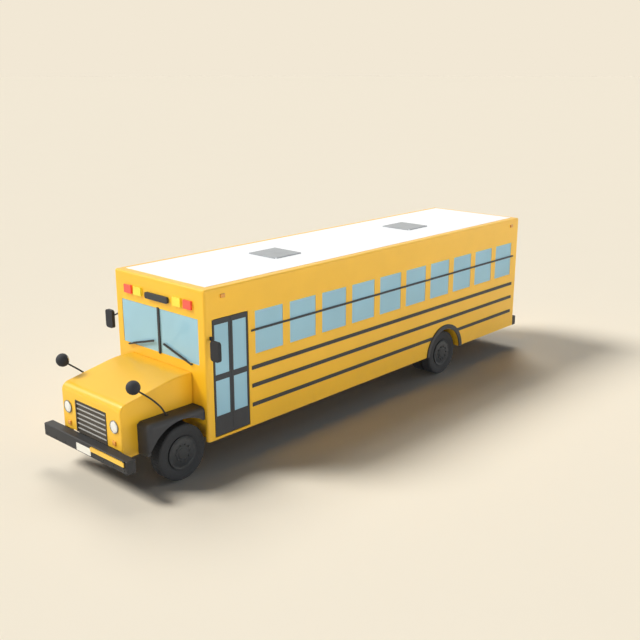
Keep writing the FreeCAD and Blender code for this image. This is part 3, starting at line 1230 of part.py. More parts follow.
def make_lamps():
    height = ("lamp_bottom", "lamp_top")
    front = (ahead("lamp_proud"), WALL)
    back = (behind(END), behind(f"{END} + lamp_proud"))
    red = []
    amber = []
    for name, along in (("front", front), ("back", back)):
        red.append(box(f"red_{name}", ("red_inner", "red_outer"), along, height))
        amber.append(box(f"amber_{name}", ("amber_inner", "amber_outer"), along, height))
    tail = (behind(END), behind(f"{END} + 30"))
    red.append(peg("tail", "y", tail, ("tail_middle", "tail_level"), "tail_radius", LAMP_FACETS))
    amber.append(peg("turn", "y", tail, ("tail_middle", "turn_level"), "tail_radius", LAMP_FACETS))
    for name in ("marker_front", "marker_rear"):
        amber.append(box(name + "_lamp", (HALF, "body_width / 2 + marker_proud"),
                         (behind(f"{name} - marker_wide / 2"), behind(f"{name} + marker_wide / 2")),
                         ("marker_level - marker_high / 2", "marker_level + marker_high / 2")))
    node("lamps_red", both_sides("red_lamps", compound("red_side", red)))
    node("lamps_amber", both_sides("amber_lamps", compound("amber_side", amber)))


def make_side_mirrors():
    low, high = ahead("mirror_ahead + mirror_deep / 2"), ahead("mirror_ahead - mirror_deep / 2")
    head = box("mirror_head", ("mirror_inner", "mirror_outer"), (low, high), ("mirror_bottom", "mirror_top"))
    head = rounded("mirror_soft", head, "mirror_round", lambda edge: runs_along(edge, Y_AXIS))
    level = "(mirror_top - arm_radius)"
    root = box("mirror_root", (HALF, f"{HALF} + 20"), (behind("mirror_root - 20"), behind("mirror_root + 20")),
               (f"{level} - 30", f"{level} + 30"))
    arm = bent_tube("mirror_arm", [
        (f"{HALF} + 12", behind("mirror_root"), level),
        ("mirror_inner + 40", ahead("mirror_ahead"), "mirror_top - mirror_high / 3"),
    ], "arm_radius", "0")
    node("side_mirrors", both_sides("mirrors", fuse("mirror", [head, root, arm])))


# Hood with its fenders, grille, lamps and crossover mirrors
def hood_outline(inset):
    """The hood's side outline, as far inside the outer skin as inset says."""
    return [
        (ahead(f"nose_length - {inset}"), "skirt_bottom"),
        (ahead(f"nose_length - {inset}"), f"hood_front_top - {inset}"),
        (ahead("hood_bend"), f"hood_rear_top - {inset}"),
        (ahead("hood_gap"), f"hood_rear_top - {inset}"),
        (ahead("hood_gap"), "skirt_bottom"),
    ]


def hood_form(name, half, inset):
    body = padded_outline(name, "x", (minus(half), half), hood_outline(inset))
    front = number(ahead(f"nose_length - {inset}"))
    bend = number(ahead("hood_bend"))
    upper = number("fender_top")
    brow = lambda edge: (runs_along(edge, X_AXIS) and edge.CenterOfMass.z > upper
                         and abs(edge.CenterOfMass.y - front) < 1)
    if inset != "0":
        bevel_body(body, f"hood_round - {inset}", brow)
        return body
    round_body(body, "hood_round", brow)
    round_body(body, "hood_crown",
               lambda edge: runs_along(edge, X_AXIS) and abs(edge.CenterOfMass.y - bend) < 1)
    return body


def make_hood():
    outer = hood_form("hood_outer", "hood_half", "0")
    low = number("skirt_bottom") + 1
    rear = number(ahead("hood_gap")) - 1
    round_body(outer, "hood_edge",
               lambda edge: abs(abs(edge.CenterOfMass.x) - number("hood_half")) < 1
               and edge.CenterOfMass.z > low and edge.CenterOfMass.y < rear)
    inner = hood_form("hood_inner", "hood_half - hood_wall", "hood_wall")
    over = "hood_half + 50"
    open_back = box("hood_back", (minus("hood_half - hood_wall"), "hood_half - hood_wall"),
                    (ahead("hood_gap + 60"), behind("10")), ("skirt_bottom - 10", "hood_rear_top - hood_wall"))
    arch = box("hood_arch", (minus(over), over), (ahead("fender_front"), behind("10")),
               ("skirt_bottom - 10", "fender_top - fender_wall"))
    nose = box("nose_cut", (minus("hood_half - hood_edge"), "hood_half - hood_edge"),
               (ahead("nose_length + 10"), ahead("nose_length - 100")), ("skirt_bottom - 10", "nose_bottom"))
    grille = box("grille_cut", (minus("grille_half"), "grille_half"),
                 (ahead("nose_length + 10"), ahead("nose_length - 100")), ("grille_bottom", "grille_top"))
    shell = cut("hood_cut", outer, [inner, open_back, arch, nose, grille])
    lug = box("hood_lug", ("frame_outer - 40", "frame_outer - 15"),
              (ahead("nose_length - hood_wall"), ahead("hood_pivot_ahead - 24")),
              ("hood_pivot_level - 25", "hood_pivot_level + 25"))
    bore = rod("hood_lug_bore", "x", ("frame_outer - 60", "frame_outer"),
               (ahead("hood_pivot_ahead"), "hood_pivot_level"), "pivot_radius + pin_play")
    lug = cut("hood_lug_cut", lug, [bore])
    node("hood_shell", fuse("hood", [shell, lug, mirrored("hood_lug_other", lug)]))


def make_fenders():
    block = box("fender_block", ("hood_half", "fender_outer"), (ahead("fender_front"), ahead("hood_gap")),
                ("fender_bottom", "fender_top"))
    outer_x = number("fender_outer")
    front_y = number(ahead("fender_front"))
    top_z = number("fender_top")

    def outside(edge):
        centre = edge.CenterOfMass
        on_top = abs(centre.z - top_z) < 1 and (abs(centre.x - outer_x) < 1 or abs(centre.y - front_y) < 1)
        corner = abs(centre.x - outer_x) < 1 and abs(centre.y - front_y) < 1
        return on_top or corner

    block = rounded("fender_soft", block, "fender_round", outside)
    core = box("fender_core", ("hood_half - 10", "fender_outer - fender_wall"),
               (ahead("fender_front - fender_wall"), behind("10")), ("fender_bottom - 10", "fender_top - fender_wall"))
    core_x = number("fender_outer - fender_wall")
    core_y = number(ahead("fender_front - fender_wall"))
    core_z = number("fender_top - fender_wall")

    def inside(edge):
        centre = edge.CenterOfMass
        on_top = abs(centre.z - core_z) < 1 and (abs(centre.x - core_x) < 1 or abs(centre.y - core_y) < 1)
        corner = abs(centre.x - core_x) < 1 and abs(centre.y - core_y) < 1
        return on_top or corner

    core = bevelled("fender_core_soft", core, "fender_round - fender_wall / 2", inside)
    arch = rod("fender_arch_cut", "x", ("fender_outer - 2 * fender_wall", "fender_outer + 20"),
               (FRONT_AXLE, "arch_level"), "fender_arch")
    leg = box("fender_leg_cut", ("fender_outer - 2 * fender_wall", "fender_outer + 20"), (FRONT_AXLE, behind("10")),
              ("fender_bottom - 10", "fender_rear_bottom"))
    shell = cut("fender_shell", block, [core, arch, leg])
    node("hood_fenders", both_sides("fenders", shell))


def make_grille():
    depth = (ahead("nose_length + 6"), ahead("nose_length - hood_wall"))
    outer = box("grille_outer", (minus("grille_half"), "grille_half"), depth, ("grille_bottom", "grille_top"))
    hole = box("grille_hole", (minus("grille_half - grille_rim"), "grille_half - grille_rim"),
               (ahead("nose_length + 20"), ahead("nose_length - hood_wall + 8")),
               ("grille_bottom + grille_rim", "grille_top - grille_rim"))
    node("grille_frame", cut("grille_tray", outer, [hole]))
    slats = []
    count = int(SIZE["slat_count"])
    room = "(grille_top - grille_bottom - 2 * grille_rim)"
    for place in range(count):
        middle = f"(grille_bottom + grille_rim + {room} * {2 * place + 1} / {2 * count})"
        slats.append(box(f"slat_{place}", (minus("grille_half - grille_rim"), "grille_half - grille_rim"),
                         (ahead("nose_length + 2"), ahead("nose_length - hood_wall + 8")),
                         (f"{middle} - slat_high / 2", f"{middle} + slat_high / 2")))
    node("grille_slats", compound("slats", slats))


def make_hood_lamps():
    face = ("headlamp_at", ahead("nose_length"), "headlamp_level")
    lamp = ring_solid("headlamp", face, FreeCAD.Vector(0, -1, 0), LAMP_FACETS, [
        ("0", "headlamp_radius"), ("headlamp_proud / 2", "headlamp_radius - headlamp_proud / 4"),
        ("headlamp_proud", "headlamp_radius - headlamp_proud"),
    ])
    node("headlamps", both_sides("headlamp_pair", lamp))
    small = box("indicator", ("indicator_at - indicator_wide / 2", "indicator_at + indicator_wide / 2"),
                (ahead("nose_length + indicator_proud"), ahead("nose_length")),
                ("indicator_level - indicator_high / 2", "indicator_level + indicator_high / 2"))
    node("indicators", both_sides("indicator_pair", small))


def faceted_ball(name, centre, radius, steps=6):
    """A ball of flat facets, as rings along X."""
    turns = [math.pi * (step + 0.5) / steps for step in range(steps)]
    return ring_solid(name, centre, X_AXIS, BALL_FACETS, [
        (f"-{radius} * {math.cos(turn):.4f}", f"{radius} * {math.sin(turn):.4f}") for turn in turns
    ])


def make_crossover_mirrors():
    ball = faceted_ball("ball", ("ball_at", ahead("ball_ahead"), "ball_level"), "ball_radius")
    arm = bent_tube("crossover_arm", [
        ("foot_at", ahead("foot_ahead"), "fender_top + 7"), ("foot_at + 5", ahead("foot_ahead + arm_lean"), "fender_top + arm_rise"),
        ("ball_at", ahead("ball_ahead"), "ball_level"),
    ], "arm_radius", "120")
    base = peg("crossover_base", "z", ("fender_top", "fender_top + 14"), ("foot_at", ahead("foot_ahead")), "34")
    node("crossover_mirrors", both_sides("crossovers", fuse("crossover", [ball, arm, base])))


# Bumpers, number plate, crossing arm and stop arm
BUMPER_FACE = f"{BUMPER_BACK} + bumper_deep"


def make_bumpers():
    front = box("bumper_bar", (minus("bumper_half"), "bumper_half"), (ahead(BUMPER_FACE), ahead(BUMPER_BACK)),
                ("bumper_bottom", "bumper_top"))
    back_y = number(ahead(BUMPER_BACK))
    front = bevelled("bumper_soft", front, "bumper_round", lambda edge: edge.CenterOfMass.y < back_y - 1)
    axis_y = ahead(f"{BUMPER_FACE} + crossing_gap + crossing_deep / 2")
    ears = []
    for name, low, high in (("low", "crossing_bottom - 22", "crossing_bottom - 6"),
                            ("high", "crossing_top + 6", "bumper_top")):
        ears.append(box(f"crossing_ear_{name}", ("crossing_pivot - 12", "crossing_pivot + 12"),
                        (f"{axis_y} - 12", ahead(f"{BUMPER_FACE} - bumper_round - 5")), (low, high)))
    pin = peg("crossing_pin", "z", ("crossing_bottom - 20", "bumper_top - 4"), ("crossing_pivot", axis_y), "6")
    front = fuse("bumper_ears", [front, pin] + ears)
    low, high = behind(f"{END} + rear_bumper_gap"), behind(f"{END} + rear_bumper_gap + rear_bumper_deep")
    rear = box("rear_bar", (minus("rear_bumper_half"), "rear_bumper_half"), (low, high),
               ("bumper_bottom + 10", "bumper_top + 5"))
    rear_y = number(low)
    rear = bevelled("rear_bar_soft", rear, "bumper_round", lambda edge: edge.CenterOfMass.y > rear_y + 1)
    node("bumpers", compound("bumper_bars", [front, rear]))
    plate = box("plate", (minus("plate_half"), "plate_half"),
                (ahead(f"{BUMPER_FACE} + plate_wall"), ahead(BUMPER_FACE)), ("plate_bottom", "plate_top"))
    node("front_plate", rounded("plate_soft", plate, "12", lambda edge: runs_along(edge, Y_AXIS)))


def make_crossing_arm():
    along = (ahead(f"{BUMPER_FACE} + crossing_gap + crossing_deep"), ahead(f"{BUMPER_FACE} + crossing_gap"))
    axis_y = ahead(f"{BUMPER_FACE} + crossing_gap + crossing_deep / 2")
    bar = box("crossing_bar", ("crossing_inner", "crossing_pivot"), along, ("crossing_bottom", "crossing_top"))
    free = number("crossing_inner")
    bar = rounded("crossing_soft", bar, "30",
                  lambda edge: runs_along(edge, Y_AXIS) and abs(edge.CenterOfMass.x - free) < 1)
    barrel_rod = peg("crossing_barrel", "z", ("crossing_bottom", "crossing_top"), ("crossing_pivot", axis_y),
                     "crossing_deep / 2")
    bore = rod("crossing_bore", "z", ("crossing_bottom - 10", "crossing_top + 10"), ("crossing_pivot", axis_y),
               "6 + pin_play")
    node("crossing_arm", cut("crossing_finished", fuse("crossing_blank", [bar, barrel_rod]), [bore]))


def make_stop_arm(trim):
    """The blank octagon on the driver's side, folded flat along the wall."""
    axis_x = minus("body_width / 2 + stop_gap")
    hinge_y = behind("stop_hinge")
    reach = "(stop_size / 2)"
    corner = "(stop_size * 0.2071)"
    middle = "(stop_hinge + 70 + stop_size / 2)"
    ring = [(-1, -1, reach, corner), (-1, -1, corner, reach), (1, -1, corner, reach), (1, -1, reach, corner),
            (1, 1, reach, corner), (1, 1, corner, reach), (-1, 1, corner, reach), (-1, 1, reach, corner)]
    points = [(behind(f"{middle} + {sx} * {across}"), f"stop_level + {sz} * {up}") for sx, sz, across, up in ring]
    disc = padded_outline("octagon", "x", (f"{axis_x} - stop_wall / 2", f"{axis_x} + stop_wall / 2"), points)
    strap = box("stop_strap", (f"{axis_x} - 5", f"{axis_x} + 5"), (hinge_y, behind("stop_hinge + 120")),
                ("stop_level - 60", "stop_level + 60"))
    barrel_rod = peg("stop_barrel", "z", ("stop_level - 60", "stop_level + 60"), (axis_x, hinge_y), "14")
    bore = rod("stop_bore", "z", ("stop_level - 70", "stop_level + 70"), (axis_x, hinge_y), "7 + pin_play")
    node("stop_arm", cut("stop_finished", fuse("stop_blank", [disc, strap, barrel_rod]), [bore]))
    ears = [box(f"stop_ear_{name}", (f"{axis_x} - 12", minus(HALF)), (f"{hinge_y} - 12", f"{hinge_y} + 12"),
                (low, high)) for name, low, high in (("low", "stop_level - 80", "stop_level - 66"),
                                                     ("high", "stop_level + 66", "stop_level + 80"))]
    pin = peg("stop_pin", "z", ("stop_level - 78", "stop_level + 78"), (axis_x, hinge_y), "7")
    bracket = fuse("stop_ears", ears + [pin])
    node("side_trim", compound("trim_whole", [trim, bracket]))


# Inside
SEAT_TOP = "(floor_top + bench_high)"
CUSHION_LOW = f"({SEAT_TOP} - bench_cushion)"


def row_front(row):
    return f"(bench_first + {row} * bench_pitch)"


def seat_cushion(row):
    front = row_front(row)
    return box(f"cushion_{row}", ("aisle_half", "bench_outer"), (behind(front), behind(f"{front} + bench_deep")),
               (CUSHION_LOW, SEAT_TOP))


def seat_legs(row):
    """The two plates a bench stands on."""
    front = row_front(row)
    along = (behind(f"{front} + leg_inset"), behind(f"{front} + bench_deep - leg_inset"))
    return [box(f"leg_{row}_{place}", (low, f"{low} + leg_wall"), along, ("floor_top", CUSHION_LOW))
            for place, low in enumerate(("aisle_half + leg_inset", "bench_outer - leg_inset - leg_wall"))]


def seat_back(row):
    """A bench back that leans and stands behind its cushion."""
    foot = f"({row_front(row)} + bench_deep)"
    head = f"({foot} + bench_lean)"
    top = "(floor_top + bench_back_high)"
    return padded_outline(f"back_{row}", "x", ("aisle_half", "bench_outer"), [
        (behind(foot), CUSHION_LOW), (behind(foot), SEAT_TOP), (behind(head), top),
        (behind(f"{head} + bench_back"), top), (behind(f"{foot} + bench_back"), CUSHION_LOW),
    ])


def make_seats():
    room = "body_length - end_wall - bench_rear - bench_first - bench_deep - bench_lean - bench_back"
    rows = range(repeats(room, "bench_pitch"))
    cushions = compound("cushion_bank", [seat_cushion(row) for row in rows])
    backs = compound("back_bank", [seat_back(row) for row in rows])
    left = minus("wheel_at")
    across = (f"{left} - driver_seat / 2", f"{left} + driver_seat / 2")
    front = "(driver_seat_at)"
    back = f"({front} + bench_deep)"
    cushion = box("driver_cushion", across, (behind(front), behind(back)), (CUSHION_LOW, SEAT_TOP))
    base = box("driver_base", (f"{left} - 140", f"{left} + 140"),
               (behind(f"{front} + leg_inset"), behind(f"{back} - leg_inset")), ("floor_top", CUSHION_LOW))
    driver_back = box("driver_back", across, (behind(back), behind(f"{back} + bench_back")),
                      (CUSHION_LOW, "floor_top + bench_back_high + 100"))
    legs = compound("leg_bank", [leg for row in rows for leg in seat_legs(row)])
    node("seat_cushions", compound("cushions", [cushions, mirrored("cushion_bank_other", cushions), cushion]))
    node("seat_legs", compound("legs", [legs, mirrored("leg_bank_other", legs), base]))
    node("seat_backs", compound("backs", [backs, mirrored("back_bank_other", backs), driver_back]))


def make_dashboard():
    inner = INSIDE
    shelf = box("dash", (minus(inner), "well_inner - 60"), (behind("end_wall"), behind("end_wall + dash_deep")),
                ("dash_bottom", "dash_top"))
    shelf = rounded("dash_soft", shelf, "60", lambda edge: runs_along(edge, X_AXIS)
                    and edge.CenterOfMass.y > number(behind("end_wall")) + 10)
    left = minus("wheel_at")
    column = peg("column", "z", ("0", "column_long"), ("0", "0"), "28")
    column.Placement = FreeCAD.Placement(FreeCAD.Vector(), FreeCAD.Rotation(FreeCAD.Vector(1, 0, 0), -50))
    for axis, place in zip("xyz", (left, behind("end_wall + dash_deep - 60"), "dash_bottom + 60")):
        bind(column, f"Placement.Base.{axis}", place)
    node("dashboard", fuse("dash_whole", [shelf, column]))


COLUMN_END = "(column_long + rest_gap)"


def make_steering_wheel():
    """The wheel turns on the end of its column, which leans back towards the driver."""
    discs = []
    for name, radius, low, high in (("rim", "wheel_radius", "0", "wheel_grip"),
                                    ("rim_hole", "wheel_radius - wheel_grip", "-5", "wheel_grip + 5")):
        disc = doc.addObject("Part::Prism", "wheel_" + name)
        disc.Polygon = RIM_FACETS
        bind(disc, "Circumradius", radius)
        bind(disc, "Height", less(low, high))
        bind(disc, "Placement.Base.z", f"{COLUMN_END} + 8 + {low}")
        discs.append(disc)
    rim = cut("wheel_ring", discs[0], [discs[1]])
    hub = rod("wheel_hub", "z", (COLUMN_END, f"{COLUMN_END} + 32"), ("0", "0"), "46")
    spoke = box("wheel_spoke", ("10 - wheel_radius", "wheel_radius - 10"), ("-14", "14"),
                (f"{COLUMN_END} + 14", f"{COLUMN_END} + 26"))
    cross = box("wheel_cross", ("-14", "14"), ("10 - wheel_radius", "0"),
                (f"{COLUMN_END} + 14", f"{COLUMN_END} + 26"))
    whole = fuse("wheel_whole", [rim, hub, spoke, cross])
    whole.Placement = FreeCAD.Placement(FreeCAD.Vector(), FreeCAD.Rotation(FreeCAD.Vector(1, 0, 0), -50))
    for axis, place in zip("xyz", (minus("wheel_at"), behind("end_wall + dash_deep - 60"), "dash_bottom + 60")):
        bind(whole, f"Placement.Base.{axis}", place)
    node("steering_wheel", whole)


def write_parts():
    """Check every object, then write each sub-part to its own file."""
    doc.recompute()
    for item in doc.Objects:
        if "Invalid" in item.State or "Error" in item.State:
            raise RuntimeError(f"{item.Name} failed: {item.State}")
    os.makedirs("parts", exist_ok=True)
    for item in NODES:
        shape = item.Shape
        if shape.isNull() or not shape.isValid() or not shape.Solids:
            raise RuntimeError(f"{item.Label} has no valid shape")
        shape.exportStep(f"parts/{item.Label}.step")
        print(f"{item.Label}: {len(shape.Solids)} solids, {shape.Volume / 1e9:.4f} cubic metres")


make_frame()
make_front_axle()
make_knuckle()
make_wheels()
make_rear_axle()
make_driveline()
make_springs()
make_tank_and_exhaust()
make_side_walls()
make_door_surround()
make_front_wall()
make_windshield()
make_rear_wall()
make_roof()
make_hatches()
make_floor()
make_entrance_door()
make_exit_door()
trim_sides = make_side_trim()
make_lamps()
make_side_mirrors()
make_hood()
make_fenders()
make_grille()
make_hood_lamps()
make_crossover_mirrors()
make_bumpers()
make_crossing_arm()
make_stop_arm(trim_sides)
make_seats()
make_dashboard()
make_steering_wheel()
write_parts()
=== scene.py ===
# %% [markdown]
# The school bus comes from the CAD model as a fixed frame.
# Every panel, door and wheel already has its place and size in metres, so nothing here moves them.
# This lesson gives each part its finish and adds what CAD leaves out, such as tread, cushions and bolts.

# %% Load the frame
import json
import math

import bmesh
import bpy
from mathutils import Matrix, Vector


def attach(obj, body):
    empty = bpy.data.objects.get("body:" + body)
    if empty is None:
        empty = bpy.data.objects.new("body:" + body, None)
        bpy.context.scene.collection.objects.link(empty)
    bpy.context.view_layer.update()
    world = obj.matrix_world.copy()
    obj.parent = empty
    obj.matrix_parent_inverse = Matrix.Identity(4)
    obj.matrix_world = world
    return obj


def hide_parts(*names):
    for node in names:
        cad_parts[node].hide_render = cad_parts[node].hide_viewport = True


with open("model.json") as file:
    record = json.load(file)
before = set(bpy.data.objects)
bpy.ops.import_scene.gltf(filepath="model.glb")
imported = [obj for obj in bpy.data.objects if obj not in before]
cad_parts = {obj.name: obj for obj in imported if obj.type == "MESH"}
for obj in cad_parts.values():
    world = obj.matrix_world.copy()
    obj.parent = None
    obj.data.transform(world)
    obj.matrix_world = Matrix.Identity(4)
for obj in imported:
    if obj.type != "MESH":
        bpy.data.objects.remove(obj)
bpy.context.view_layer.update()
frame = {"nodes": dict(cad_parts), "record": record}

# %% [markdown]
# Lengths are in metres. X points to the entrance side, Y to the rear and Z up. Most places are measured
# from the wall under the windshield, so they read like a drawing's dimensions.

# %% The wall, the axles and a quarter turn
WALL = -4.0915
WHEEL_Z = 0.480
FRONT_AXLE_Y = WALL - 0.487
REAR_AXLE_Y = WALL + 6.800
QUARTER = math.pi / 2
print("axles at", round(FRONT_AXLE_Y, 4), round(REAR_AXLE_Y, 4))

# %% [markdown]
# Colours are written as a paint chart gives them, and a shader wants linear values, so each one is
# converted.

# %% Colours
def rgb(red, green, blue):
    """A chart colour from 0 to 255 as linear values with full opacity."""
    linear = []
    for level in (red, green, blue):
        share = level / 255
        linear.append(share / 12.92 if level <= 10 else ((share + 0.055) / 1.055) ** 2.4)
    return (*linear, 1.0)


def shaded(colour, share):
    """A darker or lighter tone of a colour."""
    return tuple(level * share for level in colour[:3])


print("pure white becomes", rgb(255, 255, 255))

# %% [markdown]
# A finish is a node tree on a Principled shader. Real paint and rubber are never one flat colour: they
# drift slightly, carry fine grain and gather dust low down. Noise on Object coordinates gives this at true
# scale, since every part's mesh is in metres.

# %% Start a finish
FINISHES = {}


def finish(name, roughness, metallic=0.0, coat=0.0):
    """A new material's node tree and shader, with the plain numbers on the shader's own sockets."""
    material = bpy.data.materials.new(name)
    material.use_nodes = True
    shader = material.node_tree.nodes["Principled BSDF"]
    shader.inputs["Roughness"].default_value = roughness
    shader.inputs["Metallic"].default_value = metallic
    shader.inputs["Coat Weight"].default_value = coat
    shader.inputs["Coat Roughness"].default_value = 0.15
    FINISHES[name] = material
    return material.node_tree, shader


def place_of(tree):
    """The Object coordinates, which are true metres on every part."""
    return tree.nodes.new("ShaderNodeTexCoord").outputs["Object"]


def texture(tree, kind, scale):
    """A texture node on the Object coordinates."""
    node = tree.nodes.new("ShaderNodeTex" + kind)
    node.inputs["Scale"].default_value = scale
    tree.links.new(place_of(tree), node.inputs["Vector"])
    return node


def noise(tree, scale, detail=3.0):
    node = texture(tree, "Noise", scale)
    node.inputs["Detail"].default_value = detail
    return node.outputs["Fac"]


print("finishes so far", len(FINISHES))

# %% [markdown]
# A ramp turns a value into a colour, and a bump turns it into relief that catches the light. Fed with
# noise, the one makes a finish drift and the other gives it a grain, without a single image file.

# %% Ramps and bumps
def ramp(tree, value, stops):
    """A colour ramp through (place, colour) stops."""
    node = tree.nodes.new("ShaderNodeValToRGB")
    points = node.color_ramp.elements
    while len(points) < len(stops):
        points.new(0.5)
    for point, (place, colour) in zip(points, stops):
        point.position = place
        point.color = (*colour[:3], 1.0)
    tree.links.new(value, node.inputs["Fac"])
    return node.outputs["Color"]


def bump(tree, shader, height, strength, distance):
    node = tree.nodes.new("ShaderNodeBump")
    node.inputs["Strength"].default_value = strength
    node.inputs["Distance"].default_value = distance
    tree.links.new(height, node.inputs["Height"])
    tree.links.new(node.outputs["Normal"], shader.inputs["Normal"])


def tinted(tree, shader, value, stops):
    """Colour a shader by a ramp, and return the tone for further use."""
    tone = ramp(tree, value, stops)
    tree.links.new(tone, shader.inputs["Base Color"])
    return tone


print("ramps and bumps ready")

# %% [markdown]
# Road dust lies thickest on the lowest panels and thins out upwards. Its share comes from the height above
# the ground, broken up by noise, and it is laid over the paint as a second colour.

# %% Dust
def height_share(tree, low, high):
    """0 at one height above the ground and 1 at another, which puts road dust on the lower panels."""
    split = tree.nodes.new("ShaderNodeSeparateXYZ")
    tree.links.new(place_of(tree), split.inputs["Vector"])
    share = tree.nodes.new("ShaderNodeMapRange")
    share.inputs["From Min"].default_value = low
    share.inputs["From Max"].default_value = high
    tree.links.new(split.outputs["Z"], share.inputs["Value"])
    return share.outputs["Result"]


def calculated(tree, operation, *values):
    """The result of a Math node fed with numbers and other nodes' outputs."""
    node = tree.nodes.new("ShaderNodeMath")
    node.operation = operation
    for socket, value in zip(node.inputs, values):
        if isinstance(value, float):
            socket.default_value = value
        else:
            tree.links.new(value, socket)
    return node.outputs[0]


def dusted(tree, tone, patch, share, colour):
    """A tone with dust over it, in patches and up to a share."""
    node = tree.nodes.new("ShaderNodeMix")
    node.data_type = "RGBA"
    tree.links.new(calculated(tree, "MULTIPLY", patch, share), node.inputs[0])
    tree.links.new(tone, node.inputs[6])
    node.inputs[7].default_value = colour
    return node.outputs[2]


print("dust ready")

# %% [markdown]
# The body is sprayed in golden yellow enamel, which has a soft orange peel and a clear gloss on top.
# Its colour drifts by a percent or two from panel to panel, and dust dulls it near the sills.

# %% Paint finishes
DUST_TOP = 1.05
SILL = 0.45
ORANGE_PEEL = 0.035


def paint(name, colour, roughness=0.38, coat=0.25, drift=0.04, dust=0.0):
    """Sprayed paint on sheet metal."""
    tree, shader = finish(name, roughness, coat=coat)
    darker = shaded(colour, 1 - drift)
    lighter = tuple(min(1.0, level) for level in shaded(colour, 1 + drift))
    tone = ramp(tree, noise(tree, 1.3), [(0.35, darker), (0.65, lighter)])
    if dust:
        low = height_share(tree, DUST_TOP, SILL)
        patch = calculated(tree, "MULTIPLY", low, noise(tree, 7.0, 5.0))
        tone = dusted(tree, tone, patch, dust, rgb(168, 150, 118))
    tree.links.new(tone, shader.inputs["Base Color"])
    bump(tree, shader, noise(tree, 380.0, 2.0), ORANGE_PEEL, 0.002)


paint("body_yellow", rgb(252, 195, 38), drift=0.02, dust=0.15)
paint("roof_white", rgb(250, 252, 255), roughness=0.5, coat=0.0, drift=0.015)
paint("trim_black", rgb(45, 48, 54), roughness=0.62, coat=0.05, drift=0.1, dust=0.05)
paint("bumper_black", rgb(34, 37, 42), roughness=0.7, coat=0.05, drift=0.1, dust=0.04)
paint("frame_black", rgb(34, 35, 36), roughness=0.65, coat=0.0, drift=0.2, dust=0.25)
paint("arm_yellow", rgb(250, 200, 70), roughness=0.4)
paint("stop_red", rgb(196, 34, 30), roughness=0.35)
paint("plate_white", rgb(240, 238, 228), roughness=0.4)
paint("rim_dark", rgb(36, 40, 45), roughness=0.55, coat=0.05, drift=0.12)
print(len(FINISHES), "paints")

# %% [markdown]
# Castings, coated steel and stained pipe differ by their grain.
# A casting is coarse and dull, the tank shows long faint streaks, and heat browns the exhaust.

# %% Metal finishes
def casting(name, colour, grain=90.0):
    tree, shader = finish(name, 0.68, metallic=0.25)
    tinted(tree, shader, noise(tree, 9.0, 5.0), [(0.3, shaded(colour, 0.75)), (0.7, colour)])
    bump(tree, shader, noise(tree, grain, 4.0), 0.35, 0.003)


def coated_steel(name, colour, stain, roughness):
    tree, shader = finish(name, roughness, metallic=0.75)
    patches = noise(tree, 3.5, 6.0)
    tinted(tree, shader, patches, [(0.42, colour), (0.72, stain)])
    tree.links.new(ramp(tree, patches, [(0.3, (roughness - 0.08,) * 3), (0.8, (roughness + 0.2,) * 3)]),
                   shader.inputs["Roughness"])
    bump(tree, shader, noise(tree, 160.0), 0.08, 0.002)


casting("axle_iron", rgb(62, 63, 65))
casting("engine_grey", rgb(104, 108, 110), grain=60.0)
coated_steel("tank_grey", rgb(120, 122, 124), rgb(92, 90, 86), 0.45)
coated_steel("exhaust_steel", rgb(132, 122, 112), rgb(96, 70, 52), 0.5)
coated_steel("bright_trim", rgb(150, 152, 154), rgb(128, 130, 132), 0.3)
coated_steel("bright_dark", rgb(84, 86, 88), rgb(66, 68, 70), 0.4)
coated_steel("mirror_glass", rgb(206, 212, 216), rgb(196, 204, 210), 0.06)
print(len(FINISHES), "finishes with the metals")

# %% [markdown]
# Rubber, moulded plastic and the seats' vinyl share a fine grain.
# Voronoi cells make the leather grain of vinyl, and a tight noise makes the pebble of moulded plastic.

# %% Rubber, plastic and vinyl finishes
def rubber(name, colour, dust=0.25):
    tree, shader = finish(name, 0.82)
    worn = ramp(tree, noise(tree, 14.0, 6.0), [(0.3, shaded(colour, 0.8)), (0.75, colour)])
    tone = dusted(tree, worn, noise(tree, 4.0, 4.0), dust, rgb(112, 104, 92))
    tree.links.new(tone, shader.inputs["Base Color"])
    bump(tree, shader, noise(tree, 420.0, 2.0), 0.15, 0.001)


def plastic(name, colour, roughness=0.55, grain=520.0):
    tree, shader = finish(name, roughness)
    tinted(tree, shader, noise(tree, 5.0, 4.0), [(0.3, shaded(colour, 0.88)), (0.7, colour)])
    bump(tree, shader, noise(tree, grain, 2.0), 0.12, 0.001)


def vinyl(name, colour):
    tree, shader = finish(name, 0.48)
    cells = texture(tree, "Voronoi", 260.0)
    cells.feature = "DISTANCE_TO_EDGE"
    tinted(tree, shader, noise(tree, 3.0, 5.0), [(0.3, shaded(colour, 0.82)), (0.75, colour)])
    bump(tree, shader, cells.outputs["Distance"], 0.3, 0.0015)


rubber("tyre", rgb(38, 42, 48), dust=0.06)
rubber("seal_rubber", rgb(34, 35, 36), dust=0.1)
plastic("hatch_grey", rgb(164, 168, 172), roughness=0.6)
plastic("dash_dark", rgb(62, 62, 64))
plastic("wheel_plastic", rgb(42, 42, 43), roughness=0.45)
plastic("mirror_black", rgb(26, 30, 39), roughness=0.72)
plastic("gauge_dark", rgb(30, 31, 33), roughness=0.3)
plastic("gauge_white", rgb(226, 226, 220), roughness=0.5)
plastic("grille_light", rgb(196, 196, 192), roughness=0.4)
plastic("grille_dark", rgb(70, 64, 56), roughness=0.6)
vinyl("seat_vinyl", rgb(74, 92, 128))
vinyl("welt_vinyl", rgb(52, 66, 96))
print(len(FINISHES), "finishes with the soft ones")

# %% [markdown]
# The cabin floor is ribbed rubber, laid with its ribs along the bus so that mud sweeps out of the rear
# door. A wave texture across the bus gives the ribs, and scuffed patches make the rubber paler here and
# there.

